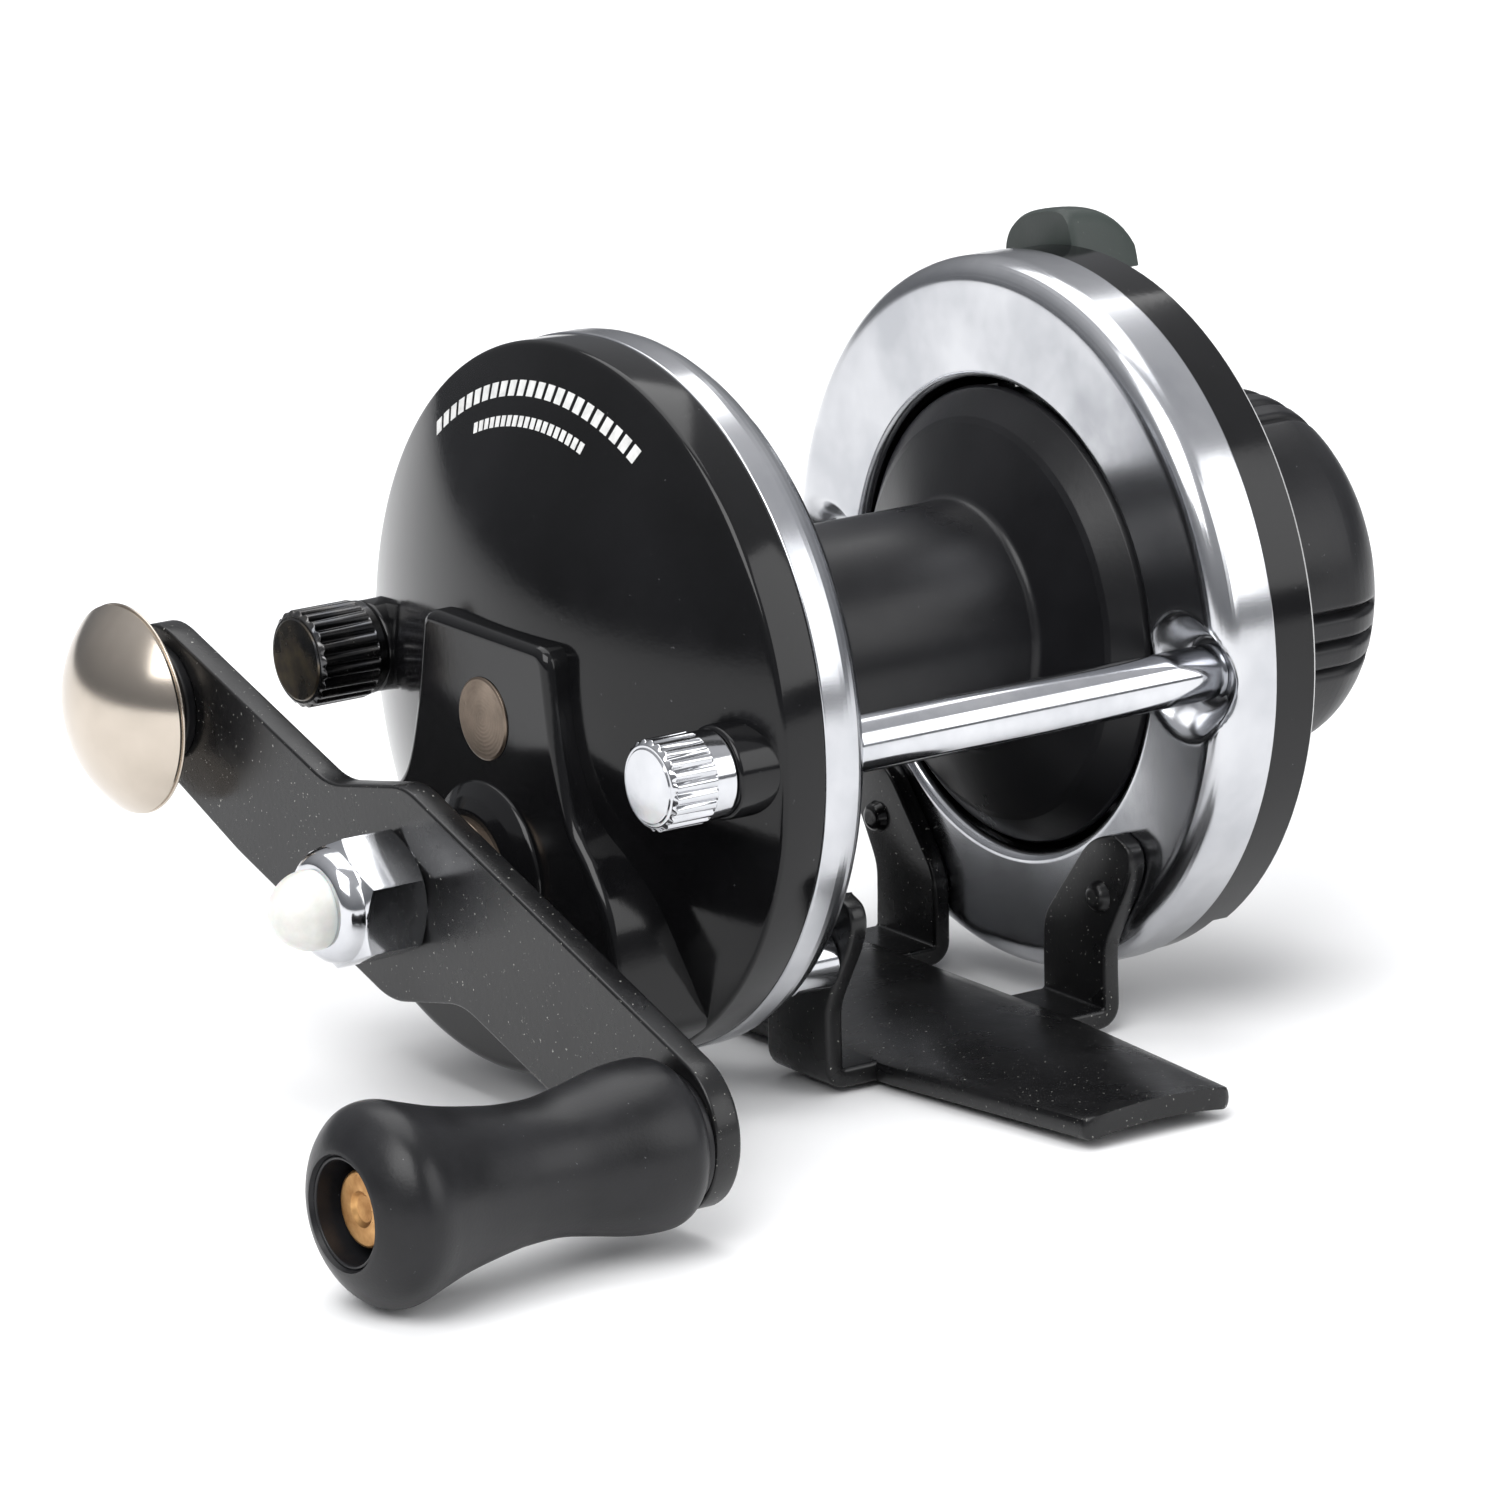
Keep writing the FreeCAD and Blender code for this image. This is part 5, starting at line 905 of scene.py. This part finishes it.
class REEL_OT_tail_side(bpy.types.Operator):
    """Tail plate, click lever and tension knob"""
    bl_idname = "reel.tail_side"
    bl_label = "Tail Side"

    def execute(self, context):
        dress(head_moulding(), "tail_plate")
        dress(chrome_plate(), "tail_screws")
        self.lever()
        self.tension_knob()
        return {"FINISHED"}

    def lever(self):
        """The lever's ring and arm are flat sheet; its thumb tab is a block that falls away to the
        tail in a quarter ellipse and leans towards the rear."""
        lean = math.radians(-15.4)
        line = [(LEVER_FRONT, 9.07), (LEVER_FRONT, 12.4), (LEVER_BACK, 12.4), (LEVER_BACK, 9.07)]
        ring = turned(line, [0.1, 0.1, 0.25, 0.1], 0.0, AXIS, 96, closed=True)
        arm = rounded([(-3.2, 11.2), (3.2, 11.2), (3.3, 18.0), (4.2, 24.4), (-3.8, 24.4), (-3.2, 18.0)],
                      [0, 0, 6.0, 0.5, 0.5, 6.0], 8)
        parts = [slab(resampled(arm, 0.5), LEVER_FRONT, LEVER_BACK, 0.15, 0.25, 3), self.tab()]
        pin = [(14.4, 0.0), (14.4, 0.9), (21.5, 0.9), (21.5, 0.0)]
        parts.append(turned(pin, [0, 0.1, 0, 0], 0.0, 14.5, 32))
        shells = [ring] + [(lean_points(points, lean, AXIS), faces) for points, faces in parts]
        make_piece("click_lever_skin", shells, lever_moulding(), "lever", ["click_lever"],
                   35.0)

    def tab(self):
        """Sections from the front face to the tail: the outline's height above its foot is scaled
        by the height of a quarter ellipse, and its width by a little less."""
        crest = smooth_line([(4.4, 22.2), (4.35, 24.6), (3.7, 25.95), (2.5, 26.8), (0.8, 27.2), (-1.4, 27.22),
                             (-3.0, 26.95), (-3.75, 26.2), (-3.9, 24.8), (-3.9, 22.2)], 6)
        outline = resampled(crest, 0.3)
        depth = 5.6
        t = np.linspace(0.0, 1.0, 18)
        edge = np.clip((0.3 - t * depth) / 0.3, 0.0, 1.0)
        high = np.sqrt(np.clip(1.0 - (0.93 * t) ** 2.6, 0.0, 1.0)) - 0.04 * edge
        wide = 1.0 - 0.12 * t ** 4 - 0.04 * edge
        y = 0.25 + (outline[None, :, 0] - 0.25) * wide[:, None]
        foot = 22.2
        z = foot + (outline[None, :, 1] - foot) * high[:, None]
        x = LEVER_FRONT + depth * t[:, None] + 0.0 * y
        return np.stack([x, y, z], axis=-1).reshape(-1, 3), capped_faces(*y.shape)

    def tension_knob(self):
        def grip(x, r, a):
            """Groups of three narrow grooves, four times round, on the knob's wall only."""
            wall = np.clip((r - 11.2) / 0.6, 0.0, 1.0) * np.clip((x - 26.2) / 0.4, 0.0, 1.0)
            wall = wall * np.clip((36.6 - x) / 0.8, 0.0, 1.0)
            depth = 0.0
            for middle in (182.5, 192.5, 202.5):
                away = (np.degrees(a) - middle + 45.0) % 90.0 - 45.0
                depth = depth + np.exp(-(away / 1.3) ** 2)
            return -0.75 * wall * depth

        line = [(22.8, 6.07), (22.8, 12.9), (37.6, 12.9), (37.6, 0.0), (31.4, 0.0), (31.4, 6.07)]
        shape = braced(rounded(line, [0.1, 0.4, 4.6, 0, 0, 0], 14), True, 0.3, 0.6)
        make_piece("tension_knob_skin", [lathe(shape, 0.0, AXIS, 540, grip, closed=True)],
                   knob_moulding(), "tension", ["tension_knob"], 60.0)


class REEL_OT_inner_parts(bpy.types.Operator):
    """Finishes for the gears, shafts, bridge and other pieces inside"""
    bl_idname = "reel.inner_parts"
    bl_label = "Inner Parts"

    def execute(self, context):
        dress(machined_brass(), "drive_gear", "pinion", "tension_plug")
        dress(turned_steel(), "gear_bridge", "bridge_screws", "spool_shaft", "spool_collar", "click_gear",
              "crank_shaft", "gear_washer", "click_tongue")
        dress(turned_bronze(), "tail_bush")
        dress(knob_moulding(), "drag_washer")
        dress(black_enamel(), "counterweight_rivet")
        return {"FINISHED"}


# ------------------------------------------------------------------ stage

class REEL_OT_stage(bpy.types.Operator):
    """Plain pale floor, soft lights and the camera"""
    bl_idname = "reel.stage"
    bl_label = "Stage"

    def execute(self, context):
        self.camera(context)
        self.floor()
        self.lights(context)
        context.scene.view_settings.view_transform = "Standard"
        return {"FINISHED"}

    def camera(self, context):
        """Heading and downward angle give the view direction; the whole view is then turned
        about the spool axis by the reel's tilt."""
        stage = context.scene.reel_stage
        yaw, pitch, tilt = stage.yaw, stage.pitch, stage.roll
        ahead = np.array([math.sin(yaw) * math.cos(pitch), math.cos(yaw) * math.cos(pitch), -math.sin(pitch)])
        right = np.array([math.cos(yaw), -math.sin(yaw), 0.0])
        above = np.cross(right, ahead)
        place = -mm(stage.distance) * ahead - mm(stage.left) * right - mm(stage.below) * above
        c, s = math.cos(tilt), math.sin(tilt)
        turn = np.array([[1, 0, 0], [0, c, -s], [0, s, c]])
        ahead, right, above, place = turn @ ahead, turn @ right, turn @ above, turn @ place
        place = (place + np.array([mm(stage.aim_x), 0.0, AXIS])) * MM
        data = bpy.data.cameras.new("studio_camera")
        data.lens = stage.lens
        data.sensor_width = 36.0
        data.clip_start = 0.05
        camera = bpy.data.objects.new("studio_camera", data)
        context.scene.collection.objects.link(camera)
        matrix = np.eye(4)
        matrix[:3, 0], matrix[:3, 1], matrix[:3, 2], matrix[:3, 3] = right, above, -ahead, place
        camera.matrix_world = Matrix(matrix.tolist())
        context.scene.camera = camera

    def floor(self):
        """A large flat disc just under the lowest point of the reel."""
        low = min(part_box(node)[0][2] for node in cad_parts) - 0.0003
        a = np.linspace(0.0, FULL, 96, endpoint=False)
        points = np.column_stack([3.0 * np.cos(a), 3.0 * np.sin(a), np.full(96, low)])
        mesh = bpy.data.meshes.new("floor")
        mesh.from_pydata(points.tolist(), [], [list(range(96))])
        mesh.materials.append(white_card())
        floor = bpy.data.objects.new("floor", mesh)
        bpy.context.scene.collection.objects.link(floor)

    def lights(self, context):
        world = bpy.data.worlds.new("studio_world")
        world.use_nodes = True
        tree = world.node_tree
        tree.nodes.clear()
        where = add_node(tree, "ShaderNodeTexCoord")
        split = add_node(tree, "ShaderNodeSeparateXYZ", {0: where.outputs["Generated"]})
        height = add_node(tree, "ShaderNodeMapRange", {
            "Value": split.outputs[2], "From Min": -0.05, "From Max": 0.8})
        shade = add_node(tree, "ShaderNodeMix", {
            0: height.outputs[0], 6: linear("#64666a"), 7: linear("#d2d3d6")}, data_type="RGBA")
        back = add_node(tree, "ShaderNodeBackground", {"Color": shade.outputs[2], "Strength": 1.0})
        add_node(tree, "ShaderNodeOutputWorld", {"Surface": back.outputs[0]})
        context.scene.world = world
        self.softbox("key_box", (-0.75, -0.45, 0.95), 0.9, 13.0)
        self.softbox("fill_box", (0.55, -0.95, 0.55), 0.8, 5.0)
        self.softbox("top_box", (0.15, 0.35, 1.15), 1.1, 9.0)

    def softbox(self, name, place, size, power):
        """A square area light that faces the reel."""
        data = bpy.data.lights.new(name, "AREA")
        data.size = size
        data.energy = power
        lamp = bpy.data.objects.new(name, data)
        bpy.context.scene.collection.objects.link(lamp)
        back = np.array(place) - np.array([0.0, 0.0, 0.027])
        back /= np.linalg.norm(back)
        side = np.cross([0.0, 0.0, 1.0], back)
        side /= np.linalg.norm(side)
        matrix = np.eye(4)
        matrix[:3, 0], matrix[:3, 1], matrix[:3, 2], matrix[:3, 3] = side, np.cross(back, side), back, place
        lamp.matrix_world = Matrix(matrix.tolist())


# ------------------------------------------------------------------ add-on

MAKERS = (
    REEL_OT_head_plate, REEL_OT_rings, REEL_OT_pillars, REEL_OT_thumb_nuts, REEL_OT_bushes, REEL_OT_spool,
    REEL_OT_crank_arm, REEL_OT_crank_nut, REEL_OT_counterweight, REEL_OT_handle_knob, REEL_OT_foot,
    REEL_OT_tail_side, REEL_OT_inner_parts, REEL_OT_stage,
)
GROUPS = {
    "reel_plates": ReelPlateSizes,
    "reel_crank": ReelCrankSizes,
    "reel_colours": ReelColours,
    "reel_stage": ReelStage,
}


class REEL_PT_panel(bpy.types.Panel):
    """Lists the reel's pieces and sizes"""
    bl_label = "Reel"
    bl_idname = "REEL_PT_panel"
    bl_space_type = "VIEW_3D"
    bl_region_type = "UI"
    bl_category = "Reel"

    def draw(self, context):
        for maker in MAKERS:
            self.layout.operator(maker.bl_idname)
        for name, group in GROUPS.items():
            box = self.layout.box()
            for prop in group.__annotations__:
                box.prop(getattr(context.scene, name), prop)


def register():
    for group in GROUPS.values():
        bpy.utils.register_class(group)
    for name, group in GROUPS.items():
        setattr(bpy.types.Scene, name, bpy.props.PointerProperty(type=group))
    for maker in MAKERS:
        bpy.utils.register_class(maker)
    bpy.utils.register_class(REEL_PT_panel)


def unregister():
    bpy.utils.unregister_class(REEL_PT_panel)
    for maker in reversed(MAKERS):
        bpy.utils.unregister_class(maker)
    for name in GROUPS:
        delattr(bpy.types.Scene, name)
    for group in GROUPS.values():
        bpy.utils.unregister_class(group)


def main():
    register()
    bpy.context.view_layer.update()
    for maker in MAKERS:
        family, name = maker.bl_idname.split(".")
        getattr(getattr(bpy.ops, family), name)()


if __name__ == "__main__":
    main()
